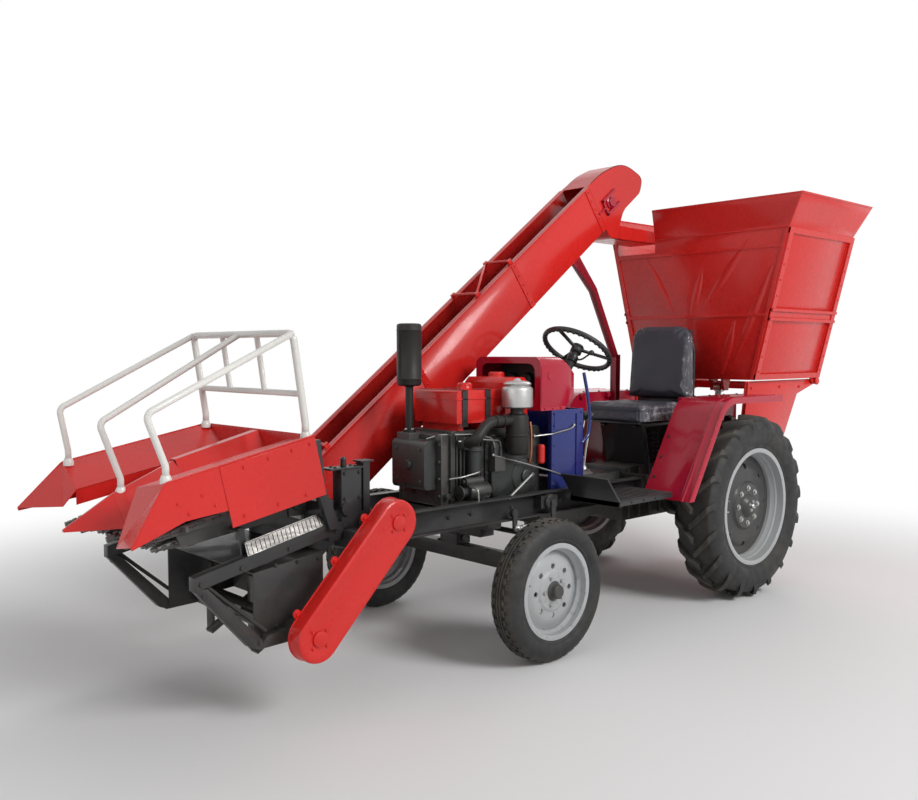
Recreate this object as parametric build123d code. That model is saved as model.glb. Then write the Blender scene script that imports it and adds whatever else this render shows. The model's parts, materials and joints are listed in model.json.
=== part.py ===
"""Mini corn harvester: a small diesel tractor with a two-row picking header and stalk chopper in front,
an open flight elevator along its right side and a tipping cob bin over the rear axle.

Millimetres. +X is forward, +Y is the machine's left, +Z is up. The origin is on the ground, under the
middle of the whole machine. Every outline is a list of (X, Z) or (Y, Z) points as its helper says.
"""
import os
from math import atan2, cos, hypot, radians, sin

from build123d import *

# Whole machine
LENGTH = 4810
BIN_LIP_X = -LENGTH / 2
FAR_SNOUT_X = LENGTH / 2
WHEELBASE = 1640
REAR_AXLE_X = -1135
FRONT_AXLE_X = REAR_AXLE_X + WHEELBASE
SHEET = 4

# Rear wheels: radius to the lug tips, carcass, rim flange and half track
REAR_R = 512
REAR_CARCASS_R = 486
REAR_TYRE_W = 240
REAR_RIM_R = 326
REAR_TRACK_HALF = 590
REAR_LUGS = 19
REAR_HUB_R = 70
REAR_SHAFT_R = 35

# Front wheels
FRONT_R = 318
FRONT_TYRE_W = 140
FRONT_RIM_R = 215
FRONT_TRACK_HALF = 612
FRONT_HUB_R = 45
STUB_R = 20
KINGPIN_Y = 505
KINGPIN_R = 18
RUNNING_GAP = 0.05

# Chassis rails: an outward-facing channel on each side
RAIL_Y = (225, 275)
RAIL_Z = (565, 680)
RAIL_X = (-640, 1325)
RAIL_T = 8

# Header pivot, on the drive shaft behind the header
PIVOT_X = 1295
PIVOT_Z = 705
PIVOT_PIN_R = 20

# Elevator: axis of its lower sprocket, run, slope and box
ELEV_LOW_X = 1130
ELEV_LOW_Z = 647
ELEV_RUN = 2775
ELEV_SLOPE = 37.23
ELEV_HALF = 150
ELEV_Y = (-535, -330)
ELEV_BOX_END = 2640

# Bin: walls, lips and tipping axis
BIN_X = (-2355, -1535)
BIN_Z = (1200, 2090)
BIN_HALF = (420, 630)
LIP_Z = 2280
LIP_HALF = 730
LIP_FRONT = 40
BIN_T = 5
TIP_X = -2330
TIP_Z = 1180
TIP_PIN_R = 15

# Header hood
HOOD_HALF = 415
HOOD_REAR_X = 1600


def box(x, y, z):
    """A block between low and high corners, each given as a pair."""
    middle = ((x[0] + x[1]) / 2, (y[0] + y[1]) / 2, (z[0] + z[1]) / 2)
    return Pos(*middle) * Box(x[1] - x[0], y[1] - y[0], z[1] - z[0])


def prism(corners, way):
    """A flat outline of corners in space, thickened along the vector way."""
    outline = Polyline(*corners, close=True)
    length = hypot(*way)
    return extrude(make_face(outline), amount=length, dir=way)


def side_plate(points, y):
    """An outline of (X, Z) points from y[0] to y[1]."""
    return prism([(px, y[0], pz) for px, pz in points], (0, y[1] - y[0], 0))


def cross_plate(points, x):
    """An outline of (Y, Z) points from x[0] to x[1]."""
    return prism([(x[0], py, pz) for py, pz in points], (x[1] - x[0], 0, 0))


def floor_plate(points, z):
    """An outline of (X, Y) points from z[0] to z[1]."""
    return prism([(px, py, z[0]) for px, py in points], (0, 0, z[1] - z[0]))


def panel(corners, thickness):
    """A flat sheet through three or four corners, thickened along their right-hand normal."""
    a, b, c = (Vector(*p) for p in corners[:3])
    normal = (b - a).cross(c - a).normalized() * thickness
    return prism(corners, (normal.X, normal.Y, normal.Z))


def rod(start, end, radius):
    """A round bar between two points."""
    start, end = Vector(*start), Vector(*end)
    return Solid.make_cylinder(radius, (end - start).length, Plane(origin=start, z_dir=end - start))


def shaft_y(x, z, radius, y):
    """A round bar along Y."""
    return rod((x, y[0], z), (x, y[1], z), radius)


def bent_bar(points, bend, radius):
    """A round bar along straight runs joined by tangent arcs."""
    path = FilletPolyline(*points, radius=bend)
    return sweep(Plane(origin=path @ 0, z_dir=path % 0) * Circle(radius), path=path)


def turned(profile):
    """A closed profile of (radius, along) points turned about the Y axis."""
    outline = Polyline(*[(r, y, 0) for r, y in profile], close=True)
    return revolve(make_face(outline), axis=Axis.Y)


def both_sides(shape):
    """The shape and its mirror image across the machine's middle plane."""
    return shape + mirror(shape, about=Plane.XZ)


# Wheels, each modelled about the origin with its outer face towards +Y


def rear_tyre():
    half = REAR_TYRE_W / 2
    bead = REAR_RIM_R - 17.5
    flank = [(bead, 92), (REAR_RIM_R + 4, 94), (338, 107), (400, half), (450, 114), (474, 98)]
    profile = [(r, -y) for r, y in flank] + [(REAR_CARCASS_R, 0)] + flank[::-1]
    tyre = turned(profile)
    reach = 57
    outline = [(-reach, -6), (-reach + 34, -6), (reach, half - 3), (reach - 36, half - 3)]
    low, top = 440, REAR_R - 3.2
    for side in (1, -1):
        points = [(u, side * v) for u, v in outline]
        lug = floor_plate(points, (low, top))
        for k in range(REAR_LUGS):
            turn = 360 / REAR_LUGS * (k + (0.5 if side < 0 else 0))
            tyre += Rot(0, turn, 0) * lug
    return tyre


def rear_rim():
    outer = [(REAR_RIM_R, -100), (REAR_RIM_R, -95), (307, -93), (303, -62), (288, -52), (288, 22),
             (303, 34), (307, 93), (REAR_RIM_R, 95), (REAR_RIM_R, 100)]
    inner = [(301, 99), (297, 38), (282, 26), (282, -56), (297, -66), (301, -99)]
    rim = turned(outer + inner)
    rim += turned([(284, 0), (284, 8), (190, 14), (150, 40), (40, 40), (40, 32), (146, 32), (186, 6)])
    rim += turned([(0, 45), (REAR_HUB_R, 45), (REAR_HUB_R, -62), (0, -62)])
    rim -= turned([(0, 20), (REAR_SHAFT_R + RUNNING_GAP, 20), (REAR_SHAFT_R + RUNNING_GAP, -63), (0, -63)])
    hole = shaft_y(0, 0, 11, (20, 60))
    for k in range(8):
        rim -= Rot(0, 45 * k, 0) * Pos(0, 0, 240) * hole
    return rim


def front_tyre():
    half = FRONT_TYRE_W / 2
    flank = [(199, 49), (FRONT_RIM_R + 4, 52), (232, 62), (262, half), (290, 64), (308, 50)]
    profile = [(r, -y) for r, y in flank] + [(FRONT_R, -34), (FRONT_R, 34)] + flank[::-1]
    return turned(profile)


def front_rim():
    outer = [(FRONT_RIM_R, -57), (FRONT_RIM_R, -53), (198, -51), (196, -34), (184, -28), (184, 12),
             (196, 20), (198, 51), (FRONT_RIM_R, 53), (FRONT_RIM_R, 57)]
    inner = [(193, 56), (191, 24), (179, 16), (179, -32), (191, -38), (193, -56)]
    rim = turned(outer + inner)
    rim += turned([(181, -4), (181, 2), (120, 8), (96, 26), (30, 26), (30, 20), (92, 20), (116, 2)])
    rim += turned([(0, 62), (24, 62), (30, 40), (FRONT_HUB_R, 32), (FRONT_HUB_R, -70), (0, -70)])
    bore = STUB_R + RUNNING_GAP
    rim -= turned([(0, 20), (bore, 20), (bore, -71), (0, -71)])
    for k in range(8):
        rim -= Rot(0, 45 * k, 0) * shaft_y(0, 148, 12, (-20, 30))
    return rim


def place_wheel(wheel, x, z, half_track, side):
    """Puts a wheel on its axle, with its outer face away from the machine."""
    turn = 0 if side > 0 else 180
    return Pos(x, side * half_track, z) * Rot(0, 0, turn) * wheel


# Front axle and steering


def front_axle():
    top, bottom = 440, 372
    sleeve_r = 32
    axle = box((FRONT_AXLE_X - 35, FRONT_AXLE_X + 35), (-KINGPIN_Y + 20, KINGPIN_Y - 20), (bottom, top))
    for side in (1, -1):
        axle += rod((FRONT_AXLE_X, side * KINGPIN_Y, 366), (FRONT_AXLE_X, side * KINGPIN_Y, 470), sleeve_r)
    axle += box((FRONT_AXLE_X - 45, FRONT_AXLE_X + 45), (-60, 60), (top, 500))
    for side in (1, -1):
        bore_r = KINGPIN_R + RUNNING_GAP
        axle -= rod((FRONT_AXLE_X, side * KINGPIN_Y, 360), (FRONT_AXLE_X, side * KINGPIN_Y, 480), bore_r)
    return axle


ARM_BACK = 135
ARM_Z = (476, 492)
TIE_R = 13


def knuckle():
    """The left knuckle; the right one is its mirror image."""
    x, y = FRONT_AXLE_X, KINGPIN_Y
    piece = rod((x, y, FRONT_R - 26), (x, y, 360), 30)
    piece += rod((x, y, 350), (x, y, 500), KINGPIN_R)
    piece += rod((x, y, ARM_Z[0]), (x, y, ARM_Z[1]), 30)
    piece += rod((x, y - 30, FRONT_R), (x, FRONT_TRACK_HALF - 74, FRONT_R), 26)
    piece += rod((x, y, FRONT_R), (x, FRONT_TRACK_HALF + 15, FRONT_R), STUB_R)
    piece += box((x - ARM_BACK, x), (y - 14, y + 14), ARM_Z)
    piece += rod((x - ARM_BACK, y, ARM_Z[0]), (x - ARM_BACK, y, ARM_Z[1]), 20)
    return piece


def tie_rod():
    x, z = FRONT_AXLE_X - ARM_BACK, ARM_Z[1] + 20
    bar = rod((x, -KINGPIN_Y, z), (x, KINGPIN_Y, z), TIE_R)
    for side in (1, -1):
        bar += rod((x, side * KINGPIN_Y, ARM_Z[1] + 1), (x, side * KINGPIN_Y, z + 16), 18)
    return bar


# Upright panels between the rails and the cowl
PANEL_X = (-190, 60)
COWL_HALF = 230

# Column direction, from the steering wheel down and forward
COLUMN_TILT = 35
WHEEL_C = (-405, 0, 1385)
COLUMN_WAY = (sin(radians(COLUMN_TILT)), 0, -cos(radians(COLUMN_TILT)))


def along_column(distance):
    return tuple(c + distance * w for c, w in zip(WHEEL_C, COLUMN_WAY))


def steering_column():
    column = rod(along_column(26), along_column(372), 22)
    column += box((-216, PANEL_X[0]), (-30, 30), (1000, 1085))
    return column


def steering_wheel():
    plane = Plane(origin=WHEEL_C, z_dir=tuple(-w for w in COLUMN_WAY))
    rim = Solid.make_torus(190, 14)
    wheel = rim + Pos(0, 0, -6) * Cylinder(32, 36)
    for k in range(3):
        wheel += Rot(0, 0, 120 * k) * Pos(97, 0, 0) * Box(180, 22, 9)
    return plane.location * wheel


# Chassis


def rail(side):
    low, high = RAIL_Y
    web = box(RAIL_X, (low, low + RAIL_T), RAIL_Z)
    web += box(RAIL_X, (low, high), (RAIL_Z[0], RAIL_Z[0] + RAIL_T))
    web += box(RAIL_X, (low, high), (RAIL_Z[1] - RAIL_T, RAIL_Z[1]))
    lug = side_plate([(1190, RAIL_Z[0]), (1325, RAIL_Z[0]), (1345, 620), (1345, 740), (1320, 760),
                      (1270, 760), (1190, RAIL_Z[1])], (low, low + 12))
    web += lug
    web -= shaft_y(PIVOT_X, PIVOT_Z, PIVOT_PIN_R + RUNNING_GAP, (low - 5, high + 5))
    return web if side > 0 else mirror(web, about=Plane.XZ)


CYLINDER_FOOT = (905, 0, 470)
FOOT_PIN_R = 12


def chassis_frame():
    inner = RAIL_Y[0]
    frame = rail(1) + rail(-1)
    for x, z in ((860, RAIL_Z[0]), (1150, 606)):
        frame += box((x, x + 60), (-inner, inner), (z, z + 60))
    saddle = box((FRONT_AXLE_X - 45, FRONT_AXLE_X + 45), (-inner, inner), (500, 565))
    saddle += both_sides(box((FRONT_AXLE_X - 45, FRONT_AXLE_X + 45), (inner, RAIL_Y[1]), (540, RAIL_Z[0])))
    frame += saddle
    for y in ((-42, -28), (28, 42)):
        frame += side_plate([(870, 565), (870, 450), (890, 435), (925, 435), (940, 450), (940, 565)], y)
    frame -= shaft_y(CYLINDER_FOOT[0], CYLINDER_FOOT[2], FOOT_PIN_R + RUNNING_GAP, (-50, 50))
    frame += box((960, 1040), (ELEV_Y[1], -RAIL_Y[0] - RAIL_T), (600, 660))
    return frame


def transaxle():
    case = box((-1335, -640), (-140, 140), (420, 720))
    case += box((-640, 20), (-120, 120), (480, 700))
    case += box((-700, -640), (-RAIL_Y[1], RAIL_Y[1]), (540, 690))
    tube_y = (140, 500)
    tubes = shaft_y(REAR_AXLE_X, REAR_R, 60, tube_y)
    tubes += shaft_y(REAR_AXLE_X, REAR_R, 85, (490, 515))
    tubes += shaft_y(REAR_AXLE_X, REAR_R, REAR_SHAFT_R, (515, 600))
    tubes += box((REAR_AXLE_X - 60, REAR_AXLE_X + 60), (340, 420), (545, 590))
    case += both_sides(tubes)
    case += box((-1480, -1335), (-40, 40), (440, 465))
    case -= rod((-1455, 0, 430), (-1455, 0, 480), 13)
    return case


def engine_block():
    block = box((60, 700), (-190, 150), (625, 1000))
    block += box((700, 790), (-150, 110), (760, 990))
    block += box((80, 640), (-190, 150), (600, 625))
    for x in (110, 560):
        block += box((x, x + 90), (150, RAIL_Y[0]), (640, 675))
        block += box((x, x + 90), (-RAIL_Y[0], -190), (640, 675))
    return block


FLYWHEEL = (300, 885)


def flywheel():
    wheel = turned([(0, -204), (40, -204), (40, -212), (150, -212), (150, -204), (188, -204), (188, -246),
                    (60, -246), (60, -260), (0, -260)])
    return Pos(FLYWHEEL[0], 0, FLYWHEEL[1]) * wheel


def exhaust_muffler():
    x, y = 735, -70
    pipe = rod((x, y, 990), (x, y, 1215), 19)
    can = rod((x, y, 1210), (x, y, 1505), 59)
    return pipe + can


def fuel_tank():
    low, high = 1035, 1190
    tank = side_plate([(400, low), (640, low), (640, high), (320, high), (320, 1110)], (-140, 160))
    tank = fillet(tank.edges().filter_by(Axis.Y).group_by(Axis.Z)[-1], 18)
    tank += box((430, 460), (-120, 140), (1000, low))
    tank += box((580, 610), (-120, 140), (1000, low))
    tank += Pos(480, 40, high + 12) * Cylinder(32, 24)
    return tank


def radiator_hood():
    hood = box((150, 312), (-135, 150), (1000, 1245))
    hood = chamfer(hood.edges().filter_by(Axis.Y).group_by(Axis.Z)[-1], 25)
    return hood


def air_cleaner():
    x, y = 325, 246
    body = rod((x, y, 870), (x, y, 1075), 55)
    body += rod((x, y, 1075), (x, y, 1100), 30)
    body += rod((x, y, 1100), (x, y, 1205), 74)
    body += rod((x, y, 1205), (x, y, 1235), 58)
    body += shaft_y(x, 930, 24, (150, y - 40))
    return body


COWL_X = (-110, 140)
COWL_Z = (1078, 1345)


def dash_cowl():
    outline = [(140, 1345), (-20, 1345), (-110, 1260), (-110, 1150), (-40, 1078), (140, 1078)]
    cowl = side_plate(outline, (-COWL_HALF, COWL_HALF))
    cowl = fillet(cowl.edges().filter_by(Axis.X).group_by(Axis.Z)[-1], 45)
    hollow = [(141, 1341), (-18, 1341), (-106, 1258), (-106, 1152), (-38, 1082), (141, 1082)]
    inside = side_plate(hollow, (SHEET - COWL_HALF, COWL_HALF - SHEET))
    inside = fillet(inside.edges().filter_by(Axis.X).group_by(Axis.Z)[-1], 41)
    return cowl - inside


def side_panels():
    low, high = RAIL_Z[1], COWL_Z[0]
    rear, front = PANEL_X
    plates = both_sides(box((rear, front), (COWL_HALF - SHEET, COWL_HALF), (low, high)))
    plates += box((rear, rear + SHEET), (-COWL_HALF, COWL_HALF), (low + 30, high))
    return plates


def gear_levers():
    levers = box((-430, -330), (-60, 60), (700, 716))
    for x, y, lean in ((-400, 35, 60), (-360, -35, 90)):
        levers += rod((x, y, 716), (x - lean, y, 1000), 8)
        levers += Pos(x - lean, y, 1012) * Sphere(20)
    return levers


def footplates():
    plate = box((-500, -60), (RAIL_Y[1], 570), (640, 646))
    plate += side_plate([(-66, 640), (-54, 640), (40, 760), (34, 764), (-66, 646)], (RAIL_Y[1], 570))
    for x in (-470, -120):
        plate += box((x, x + 30), (RAIL_Y[0] + RAIL_T, 540), (610, 641))
    return both_sides(plate)


FENDER_Y = (370, 670)
FENDER_TOP = 1120


def fenders():
    outside = [(-1435, FENDER_TOP), (-835, FENDER_TOP), (-515, 600)]
    skin = [(-1435, 1116), (-837.5, 1116), (-519.5, 599)]
    lip = [(-1435, 1088), (-855, 1088), (-553, 598)]
    strip = side_plate(outside + skin[::-1], FENDER_Y)
    strip += side_plate(outside + lip[::-1], (FENDER_Y[1] - SHEET, FENDER_Y[1]))
    web = outside + [(-640, 600), (-1020, 700), (REAR_AXLE_X + 55, 590), (REAR_AXLE_X - 55, 590), (-1435, 950)]
    strip += side_plate(web, (FENDER_Y[0], FENDER_Y[0] + SHEET))
    return both_sides(strip)


def seat_base():
    base = side_plate([(-1240, 720), (-860, 720), (-800, 960), (-1200, 960)], (-150, 150))
    base -= side_plate([(-1200, 719), (-890, 719), (-840, 940), (-1170, 940)], (-160, 160))
    base += box((-1200, -720), (-190, 190), (960, 972))
    base += box((-1240, -1228), (-190, 190), (960, 1500))
    base += box((-1240, -1200), (-190, 190), (960, 972))
    return base


def seat_cushion():
    return box((-1135, -700), (-235, 235), (973, 1078))


def seat_backrest():
    return side_plate([(-1225, 1082), (-1140, 1082), (-1175, 1540), (-1225, 1540)], (-235, 235))


# Elevator


def slope_point(s, n):
    """A point along the elevator's slope and above its middle line, as (X, Z)."""
    a = radians(ELEV_SLOPE)
    return (ELEV_LOW_X - s * cos(a) + n * sin(a), ELEV_LOW_Z + s * sin(a) + n * cos(a))


def slope_plate(points, y):
    """An outline of points along and above the slope, from y[0] to y[1]."""
    return side_plate([slope_point(s, n) for s, n in points], y)


def elevator_trough():
    h = ELEV_HALF
    far, near = ELEV_Y
    outline = [(-110, h), (ELEV_BOX_END, h), (ELEV_BOX_END, -h), (-60, -h), (-140, -70), (-140, 70)]
    trough = slope_plate(outline, (far, far + SHEET)) + slope_plate(outline, (near - SHEET, near))
    trough += slope_plate([(-60, -h), (ELEV_BOX_END, -h), (ELEV_BOX_END, -h + SHEET), (-60, -h + SHEET)], ELEV_Y)
    trough += slope_plate([(-60, -h), (-60, -h + SHEET), (-136, -70), (-140, -70)], ELEV_Y)
    trough += slope_plate([(-140, -70), (-136, -70), (-136, 10), (-140, 10)], ELEV_Y)
    for y in ((far + SHEET, far + 22), (near - 22, near - SHEET)):
        trough += slope_plate([(-110, h), (ELEV_BOX_END, h), (ELEV_BOX_END, h - SHEET), (-110, h - SHEET)], y)
    return trough


def elevator_hood():
    far, near = ELEV_Y
    h = ELEV_HALF
    t = SHEET
    start_top, start_low = slope_point(ELEV_BOX_END, h), slope_point(ELEV_BOX_END, -h)
    under_top, over_low = slope_point(ELEV_BOX_END, h - t), slope_point(ELEV_BOX_END, t - h)
    outline = [start_top, (-1010, 2461), (-1209, 2548), (-1330, 2535), (-1424, 2444), (-1400, 2390),
               (-1238, 2258), (-1200, 2165), (-1580, 2150), (-1590, 2072), (-1110, 2072), start_low]
    hood = side_plate(outline, (far, far + t)) + side_plate(outline, (near - t, near))
    roof = [start_top, (-1010, 2461), (-1209, 2548), (-1330, 2535), (-1424, 2444), (-1400, 2390)]
    under = [(-1396, 2386), (-1419, 2441), (-1328, 2530), (-1208, 2543), (-1007, 2457), under_top]
    hood += side_plate(roof + under, (far, near))
    hood += side_plate([start_low, (-1110, 2072), (-1590, 2072), (-1590, 2076), (-1108, 2076), over_low],
                       (far, near))
    return hood


CHAIN_N = -40
CHAIN_R = 70
FLIGHT_STEP = 185


def elevator_chain():
    far, near = ELEV_Y
    middle = (far + near) / 2
    top, low = CHAIN_N + CHAIN_R, CHAIN_N - CHAIN_R
    chain = None
    for y in (middle - 60, middle + 48):
        for n in (top, low):
            run = slope_plate([(0, n - 6), (ELEV_RUN, n - 6), (ELEV_RUN, n + 6), (0, n + 6)], (y, y + 12))
            chain = run if chain is None else chain + run
    for s in (0, ELEV_RUN):
        x, z = slope_point(s, CHAIN_N)
        chain += shaft_y(x, z, CHAIN_R + 6, (middle - 60, middle + 60))
        chain += shaft_y(x, z, 15, (far + SHEET, near - SHEET))
    count = int(ELEV_RUN / FLIGHT_STEP)
    for k in range(count):
        s = FLIGHT_STEP * (k + 0.5)
        for low_n, high_n in ((top, top + 36), (low - 32, low)):
            chain += slope_plate([(s, low_n), (s + 6, low_n), (s + 6, high_n), (s, high_n)],
                                 (far + 12, near - 12))
    return chain


def elevator_strut():
    line = [(-770, 1896), (-945, 1735), (-1165, 1335), (-1165, 590)]
    back = [(-1215, 590), (-1215, 1350), (-995, 1760), (-830, 1940)]
    strut = side_plate(line + back, (-364, -340))
    return strut - slope_plate([(2000, -ELEV_HALF), (2800, -ELEV_HALF), (2800, 0), (2000, 0)], (-400, -300))


# Bin


def bin_side(z):
    """Half width of the bin at a height."""
    share = (z - BIN_Z[0]) / (BIN_Z[1] - BIN_Z[0])
    return BIN_HALF[0] + share * (BIN_HALF[1] - BIN_HALF[0])


def hopper_bin():
    low, high = BIN_Z
    outer = cross_plate([(-BIN_HALF[0], low), (BIN_HALF[0], low), (BIN_HALF[1], high), (-BIN_HALF[1], high)], BIN_X)
    t = BIN_T
    inner = cross_plate([(-BIN_HALF[0] + t, low + t), (BIN_HALF[0] - t, low + t), (BIN_HALF[1] - t, high + 1),
                         (-BIN_HALF[1] + t, high + 1)], (BIN_X[0] - 1, BIN_X[1] - t))
    bin_ = outer - inner
    lips = []
    for inset in (0, t):
        foot = Pos((BIN_X[0] + BIN_X[1]) / 2, 0, high) * Rectangle(
            BIN_X[1] - BIN_X[0] - 2 * inset, 2 * (BIN_HALF[1] - inset))
        lip_x = (BIN_LIP_X + inset, BIN_X[1] + LIP_FRONT - inset)
        top = Pos((lip_x[0] + lip_x[1]) / 2, 0, LIP_Z) * Rectangle(lip_x[1] - lip_x[0], 2 * (LIP_HALF - inset))
        lips.append(loft([foot, top], ruled=True))
    bin_ += lips[0] - lips[1]
    bin_ -= box((BIN_X[1] - 20, BIN_X[1] + 100), (-780, -300), (high, LIP_Z + 10))
    bin_ -= box((BIN_X[1] - 20, BIN_X[1] + 20), (-600, -300), (2010, high + 5))
    for y in ((404, 418), (-418, -404)):
        bin_ += side_plate([(TIP_X - 25, low + 2), (TIP_X - 25, TIP_Z - 22), (TIP_X + 25, TIP_Z - 22),
                            (TIP_X + 60, low + 2)], y)
    bin_ -= shaft_y(TIP_X, TIP_Z, TIP_PIN_R + RUNNING_GAP, (-430, 430))
    for y in ((-52, -38), (38, 52)):
        bin_ += side_plate([(-1900, low + 2), (-1875, 1118), (-1825, 1118), (-1800, low + 2)], y)
    return bin_


GATE_HINGE = (-2374, 2070)


def hopper_tailgate():
    x = (BIN_X[0] - 11, BIN_X[0] - 6)
    low, high = 1212, 2056
    gate = cross_plate([(-bin_side(low), low), (bin_side(low), low), (bin_side(high), high),
                        (-bin_side(high), high)], x)
    for y in ((-560, -500), (-30, 30), (500, 560)):
        gate += shaft_y(GATE_HINGE[0], GATE_HINGE[1], 11, y)
        gate += box((GATE_HINGE[0] - 4, BIN_X[0] - 6), y, (2030, GATE_HINGE[1]))
    return gate


def hopper_stand():
    outline = [(-1500, 1192), (-2290, 1192), (TIP_X + 20, TIP_Z + 5), (TIP_X - 20, TIP_Z), (TIP_X - 20, TIP_Z - 20),
               (-2126, 1100), (-1925, 770), (-1800, 510), (-1620, 510), (-1330, 560), (-1330, 720), (-1450, 900)]
    plates = both_sides(side_plate(outline, (388, 398)))
    plates += both_sides(shaft_y(TIP_X, TIP_Z, TIP_PIN_R, (398, 424)))
    plates += box((-1750, -1650), (-388, 388), (520, 560))
    plates += both_sides(box((-1660, -1335), (70, 130), (520, 560)))
    plates += box((-1460, -1400), (-388, 388), (640, 690))
    plates += box((-2180, -2130), (-388, 388), (1120, 1170))
    for y in ((-42, -28), (28, 42)):
        plates += side_plate([(-1745, 555), (-1725, 630), (-1675, 630), (-1655, 555)], y)
    plates -= shaft_y(BIN_FOOT[0], BIN_FOOT[2], FOOT_PIN_R + RUNNING_GAP, (-50, 50))
    return plates


# Cylinders: each a barrel with an eye, and a rod that slides in it


def cylinder_pair(foot, eye, barrel_r, rod_r, barrel_share, eye_half, retract):
    """Barrel and rod between two pin centres in the X, Z plane; the rod can go in by retract."""
    way = Vector(eye[0] - foot[0], 0, eye[2] - foot[2])
    length = way.length
    way = way.normalized()
    start = Vector(*foot)
    barrel = shaft_y(foot[0], foot[2], barrel_r * 0.8, (-eye_half, eye_half))
    barrel += shaft_y(foot[0], foot[2], FOOT_PIN_R, (-eye_half - 16, eye_half + 16))
    barrel += rod(foot, tuple(start + way * 70), barrel_r * 0.6)
    barrel += rod(tuple(start + way * 62), tuple(start + way * length * barrel_share), barrel_r)
    bore_from = tuple(start + way * 75)
    bore_to = tuple(start + way * (length * barrel_share + 1))
    barrel -= rod(bore_from, bore_to, rod_r + RUNNING_GAP * 2)
    stem = rod(tuple(start + way * (85 + retract)), tuple(start + way * (length - 20)), rod_r)
    stem += shaft_y(eye[0], eye[2], rod_r * 1.6, (-eye_half, eye_half))
    return barrel, stem


HEADER_EYE = (1425, 0, 600)
BIN_FOOT = (-1700, 0, 600)
BIN_EYE = (-1850, 0, 1140)

# Header. Feet of the white guard: three front bars and the rear hoop
GUARD_FEET = ((2215, -388, 944), (2170, 0, 866), (2178, 388, 948))
HOOP_FEET = ((1622, -388, 1062), (1622, 388, 1062))


def header_hood():
    half = HOOD_HALF
    t = SHEET
    near_side = [(1549, 831), (1946, 753), (1948, 818), (2121, 798), (2317, 735), (2195, 935), (HOOD_REAR_X, 1060)]
    far_side = [(1549, 831), (1946, 753), (1948, 818), (2121, 798), (FAR_SNOUT_X - 2, 748), (FAR_SNOUT_X, 785),
                (2230, 938), (HOOD_REAR_X, 1060)]
    hood = side_plate(near_side, (half - t, half))
    hood += side_plate(far_side, (-half, -half + t))
    hood += cross_plate([(-half, 900), (half, 900), (half, 1060), (-half, 1060)], (HOOD_REAR_X, HOOD_REAR_X + t))
    for side, front_x in ((1, 2195), (-1, 2230)):
        y_top, y_low = side * (half - 40), side * 240
        corners = [(HOOD_REAR_X, y_top, 1060), (front_x, y_top, 936), (front_x, y_low, 776), (HOOD_REAR_X, y_low, 900)]
        way = (0, side * t, -t / 2)
        hood += prism(corners, way)
        top = [(HOOD_REAR_X, y_top, 1060), (front_x, y_top, 936), (front_x, side * half, 936),
               (HOOD_REAR_X, side * half, 1060)]
        hood += prism(top, (0, 0, -t))
    near_face = [(2195, 290, 935), (2195, half, 935), (2317, half, 735), (2317, 290, 735)]
    hood += prism(near_face, (-t, 0, -t / 2))
    hood += centre_snout()
    for x, y, z in GUARD_FEET + HOOP_FEET:
        hood += rod((x, y, z - 20), (x, y, z), 22)
    return hood


def centre_snout():
    """The middle snout: an upturned V along its ridge with a pointed nose."""
    rear, front, tip = 1645, 2192, 2383
    section = [(rear, -150, 900), (rear, 0, 1050), (rear, 150, 900)]
    face = make_face(Polyline(*section, close=True))
    front_face = make_face(Polyline((front, -120, 770), (front, 0, 850), (front, 120, 770), close=True))
    body = loft([face, front_face], ruled=True)
    nose = loft([front_face, make_face(Polyline((tip, -12, 735), (tip, 0, 745), (tip, 12, 735), close=True))],
                ruled=True)
    hood_bridge = box((HOOD_REAR_X + SHEET, rear), (-20, 20), (940, 990))
    return body + nose + hood_bridge


def header_frame():
    arm = side_plate([(PIVOT_X - 45, PIVOT_Z), (PIVOT_X, PIVOT_Z + 45), (1520, 760), (1520, 600), (1440, 540),
                      (PIVOT_X, PIVOT_Z - 45)], (195, 215))
    frame = both_sides(arm)
    frame += both_sides(shaft_y(PIVOT_X, PIVOT_Z, PIVOT_PIN_R, (215, 239)))
    frame += shaft_y(PIVOT_X, PIVOT_Z, 16, (239, COVER_Y[0]))
    frame += shaft_y(COVER_LOW[0], COVER_LOW[1], 44, (390, COVER_Y[0]))
    frame -= shaft_y(COVER_LOW[0], COVER_LOW[1], 20 + RUNNING_GAP, (380, COVER_Y[0] + 1))
    frame += box((1460, 1520), (-390, 390), (640, 700))
    frame += box((1500, 1560), (-390, 390), (745, 800))
    post = [(1480, 690), (1530, 690), (1590, 860), (1600, 1040), (1570, 1040), (1550, 860)]
    frame += both_sides(side_plate(post, (380, HOOD_HALF - SHEET)))
    for y in ((-42, -30), (30, 42)):
        frame += side_plate([(1400, 580), (1440, 580), (1475, 645), (1460, 690), (1400, 630)], y)
    for side in (1, -1):
        inner, outer = side * 350, side * 390
        y = (min(inner, outer), max(inner, outer))
        frame += side_plate([(1460, 660), (1520, 660), (2084, 540), (2084, 590), (1520, 712), (1460, 712)], y)
        frame += side_plate([(2035, 545), (2084, 545), (1870, 300), (1835, 285), (1815, 315)], y)
        frame += side_plate([(1800, 325), (1840, 285), (1668, 290), (1640, 350)], y)
        frame += shaft_y(COVER_LOW[0], COVER_LOW[1], 44, y)
        frame -= shaft_y(COVER_LOW[0], COVER_LOW[1], 20 + RUNNING_GAP, (y[0] - 1, y[1] + 1))
    frame += box((1365, 1460), (330, 390), (671, 915))
    frame += box((1400, 1455), (330, COVER_Y[0]), (610, 680))
    return frame


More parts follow.
